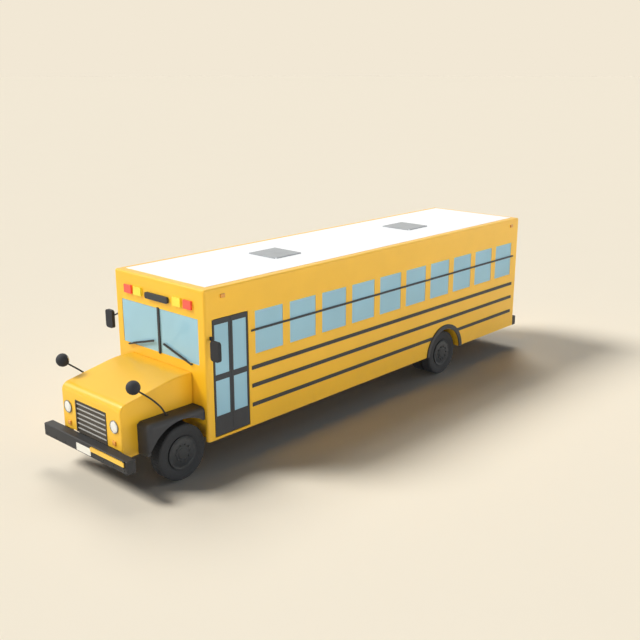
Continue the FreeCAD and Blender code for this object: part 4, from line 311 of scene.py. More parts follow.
# %% Floor finish
def ribbed_floor(name, colour):
    tree, shader = finish(name, 0.7)
    ribs = texture(tree, "Wave", 26.0)
    ribs.bands_direction = "X"
    tinted(tree, shader, noise(tree, 6.0, 6.0), [(0.35, colour), (0.75, shaded(colour, 1.7))])
    bump(tree, shader, ribs.outputs["Fac"], 0.4, 0.003)


ribbed_floor("floor_grey", rgb(96, 96, 98))
print("floor finish ready")

# %% [markdown]
# The windows are toughened safety glass. Their pale blue is partly the glass's own tint and mostly a
# painted reflection of the sky: from outside, the panes catch the sky and hide most of the dim cabin, so
# they are painted mostly opaque with a smooth gloss, and only strong shapes show through.
# Lamp lenses are coloured plastic moulded with a fine pattern on the inside, which scatters the light.

# %% Glass and lens finishes
def window_pane(name, colour, alpha):
    tree, shader = finish(name, 0.06)
    tinted(tree, shader, noise(tree, 1.1, 2.0), [(0.3, shaded(colour, 0.93)), (0.7, colour)])
    shader.inputs["Alpha"].default_value = alpha
    shader.inputs["IOR"].default_value = 1.5
    bump(tree, shader, noise(tree, 2.5, 1.0), 0.02, 0.004)
    FINISHES[name].surface_render_method = "BLENDED"


def lens(name, colour, cells_scale=90.0, glow=0.0):
    """Moulded lamp plastic with small prisms under a smooth coat."""
    tree, shader = finish(name, 0.28, coat=1.0)
    shader.inputs["Coat Roughness"].default_value = 0.03
    prisms = texture(tree, "Voronoi", cells_scale).outputs["Distance"]
    tone = tinted(tree, shader, prisms, [(0.0, colour), (1.0, shaded(colour, 0.8))])
    if glow:
        tree.links.new(tone, shader.inputs["Emission Color"])
        shader.inputs["Emission Strength"].default_value = glow
    bump(tree, shader, prisms, 0.25, 0.002)


# The panes' pale blue is a painted reflection of the sky over a faint tint of the glass.
window_pane("window_glass", rgb(163, 210, 230), 0.955)
lens("headlamp_lens", rgb(250, 250, 244), 60.0)
lens("lamp_red", rgb(252, 74, 54), glow=0.12)
lens("lamp_amber", rgb(253, 235, 48), glow=0.06)
lens("orange_lens", rgb(247, 166, 50), 120.0)
print(len(FINISHES), "finishes in all")

# %% [markdown]
# Each CAD part gets the finish that the record names for it. Only its material slots change, never its
# mesh.

# %% Dress the CAD parts
def dress(node, material):
    part = frame["nodes"][node]
    for slot in part.material_slots:
        slot.link = "OBJECT"
        slot.material = material
    if not part.material_slots:
        part.data.materials.append(material)


for part in frame["record"]["subparts"]:
    dress(part["node"], FINISHES[part["material_slot"]])
dress("grille_frame", FINISHES["grille_dark"])
print(len(frame["nodes"]), "parts dressed")

# %% [markdown]
# Every added piece starts as a primitive at its true place and is shaped in edit mode, as by hand.
# Faces and edges are picked by where they lie, so the same ones are picked however often the script runs.

# %% Start a piece and pick its parts
def alone(piece):
    """Select one object and nothing else."""
    if bpy.context.object and bpy.context.object.mode != "OBJECT":
        bpy.ops.object.mode_set(mode="OBJECT")
    bpy.ops.object.select_all(action="DESELECT")
    piece.select_set(True)
    bpy.context.view_layer.objects.active = piece


def started(name):
    """Name the primitive that was just added, and write its place into its mesh."""
    piece = bpy.context.object
    piece.name = name
    alone(piece)
    bpy.ops.object.transform_apply(location=True, rotation=True, scale=True)
    return piece


def pick(piece, kind, chosen):
    """In edit mode, select the corners, edges or faces whose middle and direction pass a test."""
    alone(piece)
    bpy.ops.object.mode_set(mode="EDIT")
    bpy.ops.mesh.select_mode(type=kind)
    bpy.ops.mesh.select_all(action="DESELECT")
    mesh = bmesh.from_edit_mesh(piece.data)
    for part in {"VERT": mesh.verts, "EDGE": mesh.edges, "FACE": mesh.faces}[kind]:
        if kind == "EDGE":
            place = (part.verts[0].co + part.verts[1].co) / 2
            way = (part.verts[1].co - part.verts[0].co).normalized()
        else:
            place = part.co if kind == "VERT" else part.calc_center_median()
            way = part.normal
        if chosen(place, way):
            part.select_set(True)
    mesh.select_flush_mode()
    bmesh.update_edit_mesh(piece.data)


print("picking ready")

# %% [markdown]
# A shaped piece has its faces turned outwards and its gentle edges shaded smooth. What repeats on the bus
# is modelled once and copied, and a mirrored copy serves the other side. Each copy has a mesh of its own.

# %% Smooth and copy a piece
def smoothed(piece, angle=35.0):
    """Turn all faces outwards and shade gentle edges smooth."""
    alone(piece)
    bpy.ops.object.mode_set(mode="EDIT")
    bpy.ops.mesh.select_all(action="SELECT")
    bpy.ops.mesh.remove_doubles(threshold=0.00005)
    bpy.ops.mesh.normals_make_consistent(inside=False)
    bpy.ops.object.mode_set(mode="OBJECT")
    bpy.ops.object.shade_smooth_by_angle(angle=math.radians(angle))
    return piece


def copied(piece, name, shift=(0, 0, 0), across=False):
    """A copy with its own mesh, moved, or mirrored to the bus's other side."""
    alone(piece)
    bpy.ops.object.duplicate(linked=False)
    twin = bpy.context.object
    twin.name = name
    twin.location = shift
    if across:
        twin.scale.x = -1.0
    bpy.ops.object.transform_apply(location=True, rotation=True, scale=True)
    return smoothed(twin) if across else twin


print("copying ready")

# %% [markdown]
# A finished piece gets its material and the body that carries it when a joint moves, and the plain CAD
# parts whose place it takes are hidden.

# %% Mount a piece
def mounted(piece, material, body, slot, *nodes):
    """Give a finished piece its material and the body that carries it, and hide the CAD parts it stands for.
    """
    if not piece.data.materials:
        piece.data.materials.append(FINISHES[material])
    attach(piece, body)
    for node in nodes:
        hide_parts(node)


print("mounting ready")

# %% [markdown]
# A truck tyre has a flat tread of blocks between grooves, a rounded shoulder and a side that curves in to
# the bead. It could be a lathe profile, but starting from an open drum gives the tread its blocks directly:
# each face of the drum is inset by half a groove and pushed out, and the drum's edges are drawn in to make
# the sides.

# %% Tyres
TREAD_RADIUS = 0.471
TREAD_WIDE = 0.212
TREAD_BLOCKS = 64
TREAD_CUTS = 5
GROOVE_HALF = 0.0042
BLOCK_HIGH = 0.0085
SIDE_STEPS = [(0.117, 0.462), (0.123, 0.440), (0.125, 0.408), (0.123, 0.372), (0.1195, 0.366),
              (0.117, 0.330), (0.108, 0.303), (0.100, 0.287)]
FRONT_TYRE_X = 1.005


def make_tyre(name, middle):
    """An open drum whose rims are drawn in as the sides and whose faces are raised as the tread."""
    bpy.ops.mesh.primitive_cylinder_add(vertices=TREAD_BLOCKS, radius=TREAD_RADIUS, depth=TREAD_WIDE,
                                        location=middle, rotation=(0, QUARTER, 0), end_fill_type="NOTHING")
    tyre = started(name)
    pick(tyre, "EDGE", lambda place, way: abs(way.x) > 0.9)
    bpy.ops.mesh.subdivide(number_cuts=TREAD_CUTS)
    wide, radius = TREAD_WIDE / 2, TREAD_RADIUS
    at_rim = wide - 0.0005
    pick(tyre, "EDGE", lambda place, way: abs(place.x - middle[0]) > at_rim and abs(way.x) < 0.1)
    for next_wide, next_radius in SIDE_STEPS:
        bpy.ops.mesh.extrude_edges_move()
        bpy.ops.transform.resize(value=(next_wide / wide, next_radius / radius, next_radius / radius),
                                 center_override=middle)
        wide, radius = next_wide, next_radius
    bpy.ops.mesh.bridge_edge_loops()
    smoothed(tyre, 25)
    axle = Vector(middle)
    pick(tyre, "FACE", lambda place, way: abs(way.x) < 0.1 and (place - axle).length > TREAD_RADIUS - 0.011)
    bpy.ops.mesh.inset(thickness=GROOVE_HALF, use_individual=True)
    bpy.ops.transform.shrink_fatten(value=BLOCK_HIGH)
    return smoothed(tyre, 25)


first_tyre = make_tyre("tyre_tread_front_left", (FRONT_TYRE_X, FRONT_AXLE_Y, WHEEL_Z))
other_tyre = copied(first_tyre, "tyre_tread_front_right", (-2 * FRONT_TYRE_X, 0, 0))
tyres = [(first_tyre, "wheel_front_left", "tyre_front_left"),
         (other_tyre, "wheel_front_right", "tyre_front_right")]
for side, way in (("left", 1), ("right", -1)):
    for label, at in (("outer", 1.035), ("inner", 0.735)):
        shift = (way * at - FRONT_TYRE_X, REAR_AXLE_Y - FRONT_AXLE_Y, 0)
        tread = copied(first_tyre, f"tyre_tread_rear_{side}_{label}", shift)
        tyres.append((tread, f"wheels_rear_{side}", f"tyres_rear_{side}"))
for tread, body, node in tyres:
    mounted(tread, "tyre", body, "tyre", node)
print(len(tyres), "tyres of", len(first_tyre.data.polygons), "faces")

# %% [markdown]
# Wheels, lamps and mirrors come in pairs, so the left one is modelled and mirrored. Sheet steel is pressed
# in steps, and so is its mesh: a face is inset and pushed out or in, again and again. Small shapes are then
# joined into one piece, as a wheel face is with its nuts.

# %% Pairs, joined pieces and pressed steps
def paired(piece, material, body, slot, *nodes):
    """Mount a left piece and its mirror image, each on its own side's body."""
    twin = copied(piece, piece.name.replace("left", "right"), across=True)
    mounted(piece, material, body, slot, *nodes)
    mounted(twin, material, body.replace("left", "right"), slot, *nodes)


def joined(name, pieces):
    alone(pieces[0])
    for piece in pieces[1:]:
        piece.select_set(True)
    bpy.ops.object.join()
    pieces[0].name = name
    return pieces[0]


def modified(piece, kind, **values):
    """Add a modifier and apply it."""
    alone(piece)
    modifier = piece.modifiers.new(kind.lower(), kind)
    for key, value in values.items():
        setattr(modifier, key, value)
    bpy.ops.object.modifier_apply(modifier=modifier.name)


def disc(name, middle, radius, turn, sides=48):
    bpy.ops.mesh.primitive_circle_add(vertices=sides, radius=radius, fill_type="NGON", location=middle,
                                      rotation=turn)
    return started(name)


def anything(place, way):
    return True


def rounded(piece, chosen, offset, segments, profile=0.5):
    """Round the edges that pass a test."""
    pick(piece, "EDGE", chosen)
    bpy.ops.mesh.bevel(offset=offset, segments=segments, profile=profile)


def pressed(way, *steps):
    """Inset the picked faces and push them along a direction, once for each (inset, push) step."""
    for thickness, push in steps:
        bpy.ops.mesh.inset(thickness=thickness)
        bpy.ops.transform.translate(value=Vector(way) * push)


print("pressing ready")

# %% [markdown]
# The wheel's steel face is a shallow dish with a rolled flange, hand holes and a ring of nuts round the
# hub. A flat circle is inset again and again, and each ring is pushed out or in, which is how a dish is
# pressed.

# %% Wheel faces
DISH_RADIUS = 0.2835
DISH_STEPS = [(0.010, 0.0), (0.006, -0.0052), (0.052, 0.0), (0.010, 0.0045), (0.062, 0.0), (0.006, 0.006),
              (0.030, 0.0), (0.012, 0.012), (0.034, 0.002)]
HOLES = 10
HOLE_INNER = 0.220
HOLE_OUTER = 0.262
HOLE_HALF_TURN = 0.16
NUTS = 10
NUT_PITCH = 0.143
OUTWARD = (1, 0, 0)


def make_wheel_face(name, face_x, axle_y):
    """A dish on the outer face of the rim of the wheel on the positive X side."""
    dish = disc(name, (face_x + 0.001, axle_y, WHEEL_Z), DISH_RADIUS, (0, QUARTER, 0), 72)
    pick(dish, "FACE", anything)
    bpy.ops.transform.translate(value=(0.0062, 0, 0))
    pressed(OUTWARD, *DISH_STEPS)
    axle = Vector((0, axle_y, WHEEL_Z))
    hand = [math.radians(360 / HOLES * (step + 0.5)) for step in range(HOLES)]

    def in_hole(place, way):
        reach = Vector((0, place.y, place.z)) - axle
        turn = math.atan2(reach.z, reach.y) % (2 * math.pi)
        near = min(abs(turn - angle) for angle in hand)
        return HOLE_INNER < reach.length < HOLE_OUTER and near < HOLE_HALF_TURN

    pick(dish, "FACE", in_hole)
    pressed(OUTWARD, (0.004, -0.0015))
    modified(dish, "SOLIDIFY", thickness=0.0012, offset=-1.0)
    bpy.ops.mesh.primitive_cylinder_add(vertices=6, radius=0.017, depth=0.018, rotation=(0, QUARTER, 0),
                                        location=(face_x + 0.014, axle_y + NUT_PITCH, WHEEL_Z))
    nut = started("nut")
    pick(nut, "FACE", lambda place, way: way.x > 0.9)
    pressed(OUTWARD, (0.004, 0.003), (0.005, 0.006))
    nuts = [nut]
    for step in range(1, NUTS):
        nuts.append(copied(nut, f"nut_{step}"))
        pick(nuts[-1], "FACE", anything)
        bpy.ops.transform.rotate(value=math.radians(360 / NUTS * step), orient_axis="X",
                                 center_override=(face_x, axle_y, WHEEL_Z))
    return smoothed(joined(name, [dish] + nuts), 30)


front_face = make_wheel_face("wheel_face_front_left", 1.122, FRONT_AXLE_Y)
rear_face = copied(front_face, "wheel_face_rear_left", (0.030, REAR_AXLE_Y - FRONT_AXLE_Y, 0))
paired(front_face, "rim_dark", "wheel_front_left", "rim_dark")
paired(rear_face, "rim_dark", "wheels_rear_left", "rim_dark")
print("wheel faces of", len(front_face.data.polygons), "faces")

# %% [markdown]
# A school bench is foam under tight vinyl: a crowned cushion and a tall padded back. Each starts as a block
# with soft edges, a little smaller than the finished pad, because it is blown up afterwards.

# %% Rough pads
def block(name, middle, size):
    """A cube stretched to a size, as the start of a piece."""
    bpy.ops.mesh.primitive_cube_add(size=1.0, location=middle)
    bpy.context.object.scale = size
    return started(name)


def rough_pad(name, middle, size, edge, lean=0.0):
    """A block with soft edges whose top leans back, a little smaller than the finished pad."""
    pad = block(name, middle, size)
    low = middle[2]
    pick(pad, "VERT", lambda place, way: place.z > low)
    bpy.ops.transform.translate(value=(0, lean, 0))
    rounded(pad, anything, edge, 4, 0.6)
    return pad


print("rough pads ready")

# %% [markdown]
# A block with rounded edges would look hard. So one cushion and one back are inflated with the cloth
# solver, kept from ballooning by a cap on how far a point moves, and later copied to all the rows.

# %% Inflate a pad
BENCH_X = 0.675
CUSHION_Z = 1.466
CUSHION_TOP = 1.530
LEG_TOP = 1.410
ROW_FRONT = WALL + 1.330
ROW_STEP = 0.736
ROWS = 11
CUSHION_SIZE = (0.948, 0.398, 0.092)
BACK_SIZE = (0.948, 0.062, 0.700)
BACK_LEAN = 0.060
BACK_TOP = 2.140
PRESSURE = 4.0
CLOTH_STEPS = 20
LARGEST_MOVE = 0.022


def inflate(pad, voxel=0.014):
    """Remesh a rough pad, blow it up a little with the cloth solver and keep the result."""
    modified(pad, "REMESH", mode="VOXEL", voxel_size=voxel)
    before = [corner.co.copy() for corner in pad.data.vertices]
    cloth = pad.modifiers.new("cloth", "CLOTH")
    cloth.settings.use_pressure = True
    cloth.settings.uniform_pressure_force = PRESSURE
    cloth.settings.effector_weights.gravity = 0.0
    cloth.point_cache.frame_start = 1
    cloth.point_cache.frame_end = CLOTH_STEPS
    for frame_number in range(1, CLOTH_STEPS + 1):
        bpy.context.scene.frame_set(frame_number)
    alone(pad)
    bpy.ops.object.modifier_apply(modifier="cloth")
    bpy.context.scene.frame_set(1)
    for corner, start in zip(pad.data.vertices, before):
        move = corner.co - start
        if move.length > LARGEST_MOVE:
            corner.co = start + move.normalized() * LARGEST_MOVE
    return smoothed(pad, 60)


def settle(pad, highest):
    """Flatten a pad where it rests on its legs, and keep it in the room of its CAD solid."""
    for corner in pad.data.vertices:
        corner.co.z = min(max(corner.co.z, LEG_TOP), highest)


middle = (BENCH_X, ROW_FRONT + 0.215, CUSHION_Z)
cushion = inflate(rough_pad("cushion_left_01", middle, CUSHION_SIZE, 0.026))
settle(cushion, CUSHION_TOP)
middle = (BENCH_X, ROW_FRONT + 0.430 + 0.045, 1.775)
back = inflate(rough_pad("back_left_01", middle, BACK_SIZE, 0.024, BACK_LEAN))
settle(back, BACK_TOP)
print("cushion", len(cushion.data.polygons), "back", len(back.data.polygons), "faces")

# %% [markdown]
# A round welt is sewn where the panels of a pad meet. It is a thin tube along the pad's edge, made from a
# plane whose corners are rounded, whose outline becomes a curve and whose curve gets a round section.

# %% Piping round the pads
WELT_RADIUS = 0.0045
WELT_CORNER = 0.035
WELT_HALF = 0.470


def piping(name, first, last):
    """A closed tube round a pad, between two opposite corners given as (y, z)."""
    bpy.ops.mesh.primitive_plane_add(size=1.0)
    outline = started(name)
    corners = [(BENCH_X + side * WELT_HALF, *end) for end in (first, last) for side in (-1, 1)]
    for corner, place in zip(outline.data.vertices, corners):
        corner.co = place
    pick(outline, "VERT", anything)
    bpy.ops.mesh.bevel(offset=WELT_CORNER, segments=5, affect="VERTICES")
    bpy.ops.mesh.delete(type="ONLY_FACE")
    bpy.ops.object.mode_set(mode="OBJECT")
    bpy.ops.object.convert(target="CURVE")
    tube = bpy.context.object
    tube.data.bevel_depth = WELT_RADIUS
    tube.data.bevel_resolution = 1
    bpy.ops.object.convert(target="MESH")
    return smoothed(bpy.context.object, 60)


foot_y = ROW_FRONT + 0.446
top_welt = piping("welt_cushion", (ROW_FRONT + 0.020, 1.506), (ROW_FRONT + 0.410, 1.506))
back_welt = piping("welt_back", (foot_y, 1.47), (foot_y + 0.054, 2.118))
rear_welt = copied(back_welt, "welt_back_rear", (0, 0.060, 0))
welts = joined("welts_left_01", [top_welt, back_welt, rear_welt])
print("piping", len(welts.data.polygons), "faces a bench")

# %% [markdown]
# All benches are the same, so the finished pads are copied row by row and side by side, each a piece of its
# own.

# %% Set out all the benches
def upholstered(seat, rest):
    """Mount a cushion and its back."""
    mounted(seat, "seat_vinyl", "chassis", "seat_vinyl", "seat_cushions")
    mounted(rest, "seat_vinyl", "chassis", "seat_vinyl", "seat_backs")


for row in range(ROWS):
    for side, way in (("left", 1), ("right", -1)):
        shift = (0 if way > 0 else -2 * BENCH_X, row * ROW_STEP, 0)
        label = f"{side}_{row + 1:02d}"
        parts = (cushion, back, welts)
        if label != "left_01":
            kinds = ("cushion_", "back_", "welts_")
            parts = [copied(part, kind + label, shift) for part, kind in zip(parts, kinds)]
        upholstered(parts[0], parts[1])
        mounted(parts[2], "welt_vinyl", "chassis", "seat_vinyl")
print(2 * ROWS, "benches")

# %% [markdown]
# The driver's seat is made as a bench is, from the same foam and vinyl, but narrow and with a taller back.

# %% Driver's seat
DRIVER_X = -0.640
BUCKET_CUSHION = (0.448, 0.398, 0.092)
BUCKET_BACK = (0.448, 0.060, 0.780)
BUCKET_TOP = 2.240
BUCKET_VOXEL = 0.012
middle = (DRIVER_X, WALL + 0.975, CUSHION_Z)
driver_cushion = inflate(rough_pad("driver_cushion", middle, BUCKET_CUSHION, 0.03), BUCKET_VOXEL)
settle(driver_cushion, CUSHION_TOP)
middle = (DRIVER_X, WALL + 1.235, 1.830)
driver_back = inflate(rough_pad("driver_back", middle, BUCKET_BACK, 0.024), BUCKET_VOXEL)
settle(driver_back, BUCKET_TOP)
upholstered(driver_cushion, driver_back)
print("driver's seat", len(driver_cushion.data.polygons) + len(driver_back.data.polygons), "faces")

# %% [markdown]
# A headlamp is a clear domed glass in a metal ring. The dome is a flat circle inset and pushed forward step
# by step, so its edge rolls over like pressed glass, and the ring is a thin torus whose front half is drawn
# forward.

# %% Headlamps
NOSE_Y = WALL - 1.455
FACING_FRONT = (QUARTER, 0, 0)
FORWARD = (0, -1, 0)
LAMP_X = 0.661
LAMP_Z = 1.102
LAMP_RADIUS = 0.098
LAMP_RING_Y = NOSE_Y - 0.006
LAMP_RING_RADIUS = 0.1025
HEADLAMP_STEPS = [(0.004, 0.010), (0.012, 0.004), (0.020, 0.005), (0.026, 0.003), (0.020, 0.001), (0, 0.0005)]


def ring(name, middle, radius, thick, turn, sides=48, facets=10):
    bpy.ops.mesh.primitive_torus_add(major_radius=radius, minor_radius=thick, major_segments=sides,
                                     minor_segments=facets, location=middle, rotation=turn)
    return started(name)


def make_dome(name, middle, radius, steps, turn, out):
    """A round lens: each step insets the face and moves it outwards."""
    dome = disc(name, middle, radius, turn)
    pick(dome, "FACE", anything)
    bpy.ops.mesh.extrude_region_move()
    for thickness, push in steps:
        bpy.ops.transform.translate(value=Vector(out) * push)
        if thickness:
            bpy.ops.mesh.inset(thickness=thickness)
    return smoothed(dome, 50)


glass = make_dome("headlamp_glass_left", (LAMP_X, NOSE_Y, LAMP_Z), LAMP_RADIUS, HEADLAMP_STEPS,
                  FACING_FRONT, FORWARD)
rim = ring("headlamp_ring_left", (LAMP_X, LAMP_RING_Y, LAMP_Z), LAMP_RING_RADIUS, 0.0075, FACING_FRONT)
pick(rim, "VERT", lambda place, way: place.y < LAMP_RING_Y)
bpy.ops.transform.translate(value=(0, -0.006, 0))
smoothed(rim, 60)
paired(glass, "headlamp_lens", "hood", "headlamp_lens", "headlamps")
paired(rim, "bright_trim", "hood", "headlamp_lens", "headlamps")
print("headlamps", len(glass.data.polygons) + len(rim.data.polygons), "faces each")

# %% [markdown]
# The side markers and front indicators are orange lenses clipped over small boxes. Each is a block with its
# outer face inset and crowned, so its rim catches a line of light, and it covers the CAD box under it.

# %% Orange markers and indicators
LENS_RIM = 0.010
BODY_HALF = 1.220
MARKER_Z = 3.000
MARKER_SIZE = (0.0255, 0.094, 0.064)
INDICATOR_AT = (0.640, NOSE_Y - 0.0105, 0.822)
INDICATOR_SIZE = (0.074, 0.021, 0.072)


def make_lens_box(name, middle, size, out, crown):
    """A block whose outer face is inset and lifted by its crown."""
    lens_box = block(name, middle, size)
    facing = Vector(out)
    pick(lens_box, "FACE", lambda place, way: way.dot(facing) > 0.9)
    pressed(out, (LENS_RIM, crown))
    rounded(lens_box, anything, 0.002, 2)
    return smoothed(lens_box, 35)


for label, y in (("front", WALL + 0.383), ("rear", WALL + 9.346)):
    middle = (BODY_HALF + 0.0125, y, MARKER_Z)
    marker = make_lens_box(f"marker_{label}_left", middle, MARKER_SIZE, OUTWARD, 0.004)
    paired(marker, "orange_lens", "chassis", "lamp_amber")
indicator = make_lens_box("indicator_left", INDICATOR_AT, INDICATOR_SIZE, FORWARD, 0.003)
paired(indicator, "orange_lens", "hood", "lamp_amber", "indicators")
print("orange lenses", len(marker.data.polygons), "faces each")

# %% [markdown]
# The round rear lamps sit in black rubber grommets. Their lenses are domes like the headlamps', in red and
# amber.

# %% Rear lamps
END_Y = WALL + 9.693
FACING_REAR = (-QUARTER, 0, 0)
BACKWARD = (0, 1, 0)
REAR_LAMP_X = 0.900
REAR_LAMP_Y = END_Y + 0.022
REAR_LAMP_RADIUS = 0.0855
GROMMET_RADIUS = 0.092
REAR_LAMP_STEPS = [(0.006, 0.004), (0.020, 0.004), (0.026, 0.002), (0, 0.001)]
for label, z, tone in (("tail", 1.380, "lamp_red"), ("turn", 1.620, "lamp_amber")):
    dome = make_dome(f"{label}_lens_left", (REAR_LAMP_X, REAR_LAMP_Y + 0.029, z), REAR_LAMP_RADIUS,
                     REAR_LAMP_STEPS, FACING_REAR, BACKWARD)
    grommet = ring(f"{label}_grommet_left", (REAR_LAMP_X, REAR_LAMP_Y + 0.008, z), GROMMET_RADIUS, 0.010,
                   FACING_FRONT)
    smoothed(grommet, 60)
    paired(dome, tone, "chassis", tone)
    paired(grommet, "seal_rubber", "chassis", "trim_black")
print("rear lamps ready")

# %% [markdown]
# The crossover mirrors are black balls on thin bent stalks, with a bulging glass that faces the driver.
# A ball is a sphere whose driver side is inset and pressed flatter for the glass, and the stalk is a smooth
# spline with a round section, from its foot on the fender to the back of the ball.

# %% Crossover mirrors
BALL = Vector((0.998, WALL - 1.293, 1.803))
BALL_RADIUS = 0.115
GLASS_SHARE = 0.62
DRIVER_EYE = Vector((DRIVER_X, WALL + 1.05, 2.20))
FOOT = Vector((0.950, WALL - 0.650, 1.145))
STALK_RADIUS = 0.0145
FROM_FOOT = [(0, 0, 0), (0.002, -0.045, 0.075), (0.006, -0.110, 0.180), (0.016, -0.270, 0.345)]
FROM_BALL = [(-0.008, 0.200, -0.170), (0, 0.070, -0.070)]


def make_crossover(name, ball_at):
    """A ball whose side towards the driver is pressed flatter and gets the mirror's glass."""
    bpy.ops.mesh.primitive_uv_sphere_add(segments=40, ring_count=20, radius=BALL_RADIUS, location=ball_at)
    ball = started(name)
    towards = (DRIVER_EYE - ball_at).normalized()
    ball.data.materials.append(FINISHES["mirror_black"])
    ball.data.materials.append(FINISHES["mirror_glass"])
    pick(ball, "FACE", lambda place, way: way.dot(towards) > GLASS_SHARE)
    pressed(towards, (0.006, -0.004))
    ball.active_material_index = 1
    bpy.ops.object.material_slot_assign()
    return smoothed(ball, 40)


def make_stalk(name, points):
    """A smooth round bar through a few points."""
    bpy.ops.curve.primitive_nurbs_path_add()
    stalk = bpy.context.object
    stalk.data.splines.clear()
    spline = stalk.data.splines.new("NURBS")
    spline.points.add(len(points) - 1)
    for point, place in zip(spline.points, points):
        point.co = (*place, 1.0)
    spline.order_u = 3
    spline.use_endpoint_u = True
    stalk.data.resolution_u = 10
    stalk.data.bevel_depth = STALK_RADIUS
    stalk.data.bevel_resolution = 3
    stalk.data.use_fill_caps = True
    bpy.ops.object.convert(target="MESH")
    return smoothed(started(name), 50)


route = [FOOT + Vector(step) for step in FROM_FOOT] + [BALL + Vector(step) for step in FROM_BALL]
for side, way in (("left", 1), ("right", -1)):
    swap = Vector((way, 1, 1))
    ball = make_crossover(f"crossover_ball_{side}", BALL * swap)
    stalk = make_stalk(f"crossover_stalk_{side}", [point * swap for point in route])
    base = disc(f"crossover_foot_{side}", FOOT * swap, 0.034, (0, 0, 0), 24)
    pick(base, "FACE", anything)
    bpy.ops.mesh.extrude_region_move()
    bpy.ops.transform.translate(value=(0, 0, 0.008))
    pressed((0, 0, 1), (0.010, 0.006))
    smoothed(base, 30)
    for piece in (ball, stalk, base):
        mounted(piece, "mirror_black", "hood", "mirror_black", "crossover_mirrors")
print("crossover mirrors", len(ball.data.polygons), "faces each")

# %% [markdown]
# Each side mirror's head holds a tall flat glass over a small bulging one, both facing back along the bus.

# %% Side mirror glass
MIRROR_X = 1.4575
MIRROR_Y = WALL + 0.0405
PANE_WIDE = 0.172
for label, z, high, crown in (("flat", 2.220, 0.200, 0.0005), ("round", 2.062, 0.080, 0.006)):
    pane = block(f"mirror_{label}_left", (MIRROR_X, MIRROR_Y, z), (PANE_WIDE, 0.004, high))
    rounded(pane, lambda place, way: abs(way.y) > 0.9, 0.026, 5)
    pick(pane, "FACE", lambda place, way: way.y > 0.9)
    pressed(BACKWARD, (0.006, crown))
    smoothed(pane, 30)
    paired(pane, "mirror_glass", "chassis", "mirror_black")
print("side mirror glasses ready")

# %% [markdown]
# The steering wheel is a thin moulded rim on three spokes. A torus gives the rim, the spokes are blocks
# that narrow towards it, and a short drum with a raised face covers the hub.

# %% Steering wheel
LEAN = math.radians(-50)
COLUMN_FOOT = Vector((DRIVER_X, WALL + 0.300, 1.620))
COLUMN_WAY = Vector((0, -math.sin(LEAN), math.cos(LEAN)))
RIM_RADIUS = 0.211
HUB_RADIUS = 0.046
rim_middle = COLUMN_FOOT + COLUMN_WAY * 0.352
rim = ring("steering_rim", rim_middle, RIM_RADIUS, 0.0135, (LEAN, 0, 0), 64, 14)
spokes = []
for turn in (0, 90, 180):
    spoke = block(f"spoke_{turn}", (0.115, 0, -0.010), (0.190, 0.030, 0.011))
    pick(spoke, "FACE", lambda place, way: way.x > 0.9)
    bpy.ops.transform.resize(value=(1, 0.62, 0.8))
    bpy.ops.transform.translate(value=(0, 0, 0.008))
    rounded(spoke, lambda place, way: abs(way.x) > 0.8, 0.0035, 3)
    bpy.ops.object.mode_set(mode="OBJECT")
    spoke.data.transform(Matrix.Translation(rim_middle) @ Matrix.Rotation(LEAN, 4, "X")
                         @ Matrix.Rotation(math.radians(-turn), 4, "Z"))
    spokes.append(spoke)
bpy.ops.mesh.primitive_cylinder_add(vertices=40, radius=HUB_RADIUS, depth=0.032, rotation=(LEAN, 0, 0),
                                    location=COLUMN_FOOT + COLUMN_WAY * 0.3465)
hub = started("steering_hub")
pick(hub, "FACE", lambda place, way: way.dot(COLUMN_WAY) > 0.9)
pressed(COLUMN_WAY, (0.012, 0.004))
wheel = smoothed(joined("steering_wheel_moulded", [rim, hub] + spokes), 40)
mounted(wheel, "wheel_plastic", "steering_wheel", "wheel_plastic", "steering_wheel")
print("steering wheel", len(wheel.data.polygons), "faces")

# %% [markdown]
# Three round gauges face the driver from the dashboard. Their faces are blank here apart from a ring of
# ticks, which are small raised bars, since a dial without any marks would look like a plug.

# %% Gauges
DASH_Y = WALL + 0.360
GAUGE_Z = 1.672
GAUGE_PITCH = 0.190
TICKS = 9
TICK_REACH = 0.040
for place in range(3):
    x = DRIVER_X + GAUGE_PITCH * (place - 1)
    bezel = ring(f"gauge_bezel_{place}", (x, DASH_Y + 0.002, GAUGE_Z), 0.052, 0.006, FACING_FRONT, 40, 8)
    smoothed(bezel, 60)
    face = make_dome(f"gauge_face_{place}", (x, DASH_Y, GAUGE_Z), 0.050, [(0.004, 0.002), (0, 0.0005)],
                     FACING_REAR, BACKWARD)
    ticks = []
    for step in range(TICKS):
        turn = math.radians(-30 + 30 * step)
        tick_x = x + TICK_REACH * math.cos(turn)
        tick_z = GAUGE_Z + TICK_REACH * math.sin(turn)
        tick = block(f"tick_{place}_{step}", (tick_x, DASH_Y + 0.0032, tick_z), (0.008, 0.001, 0.002))
        pick(tick, "FACE", anything)
        bpy.ops.transform.rotate(value=turn, orient_axis="Y", center_override=(tick_x, DASH_Y, tick_z))
        bpy.ops.object.mode_set(mode="OBJECT")
        ticks.append(tick)
    marks = joined(f"gauge_ticks_{place}", ticks)
    mounted(bezel, "bright_trim", "chassis", "dash_dark")
    mounted(face, "gauge_dark", "chassis", "dash_dark")
    mounted(marks, "gauge_white", "chassis", "dash_dark")
print("three gauges")

# %% [markdown]
# The grille has six pressed louvres. Each is a bar whose lower front edge is drawn back, so that it throws
# a shadow on the next one, with rounded edges. One louvre is shaped and then copied down the tray.

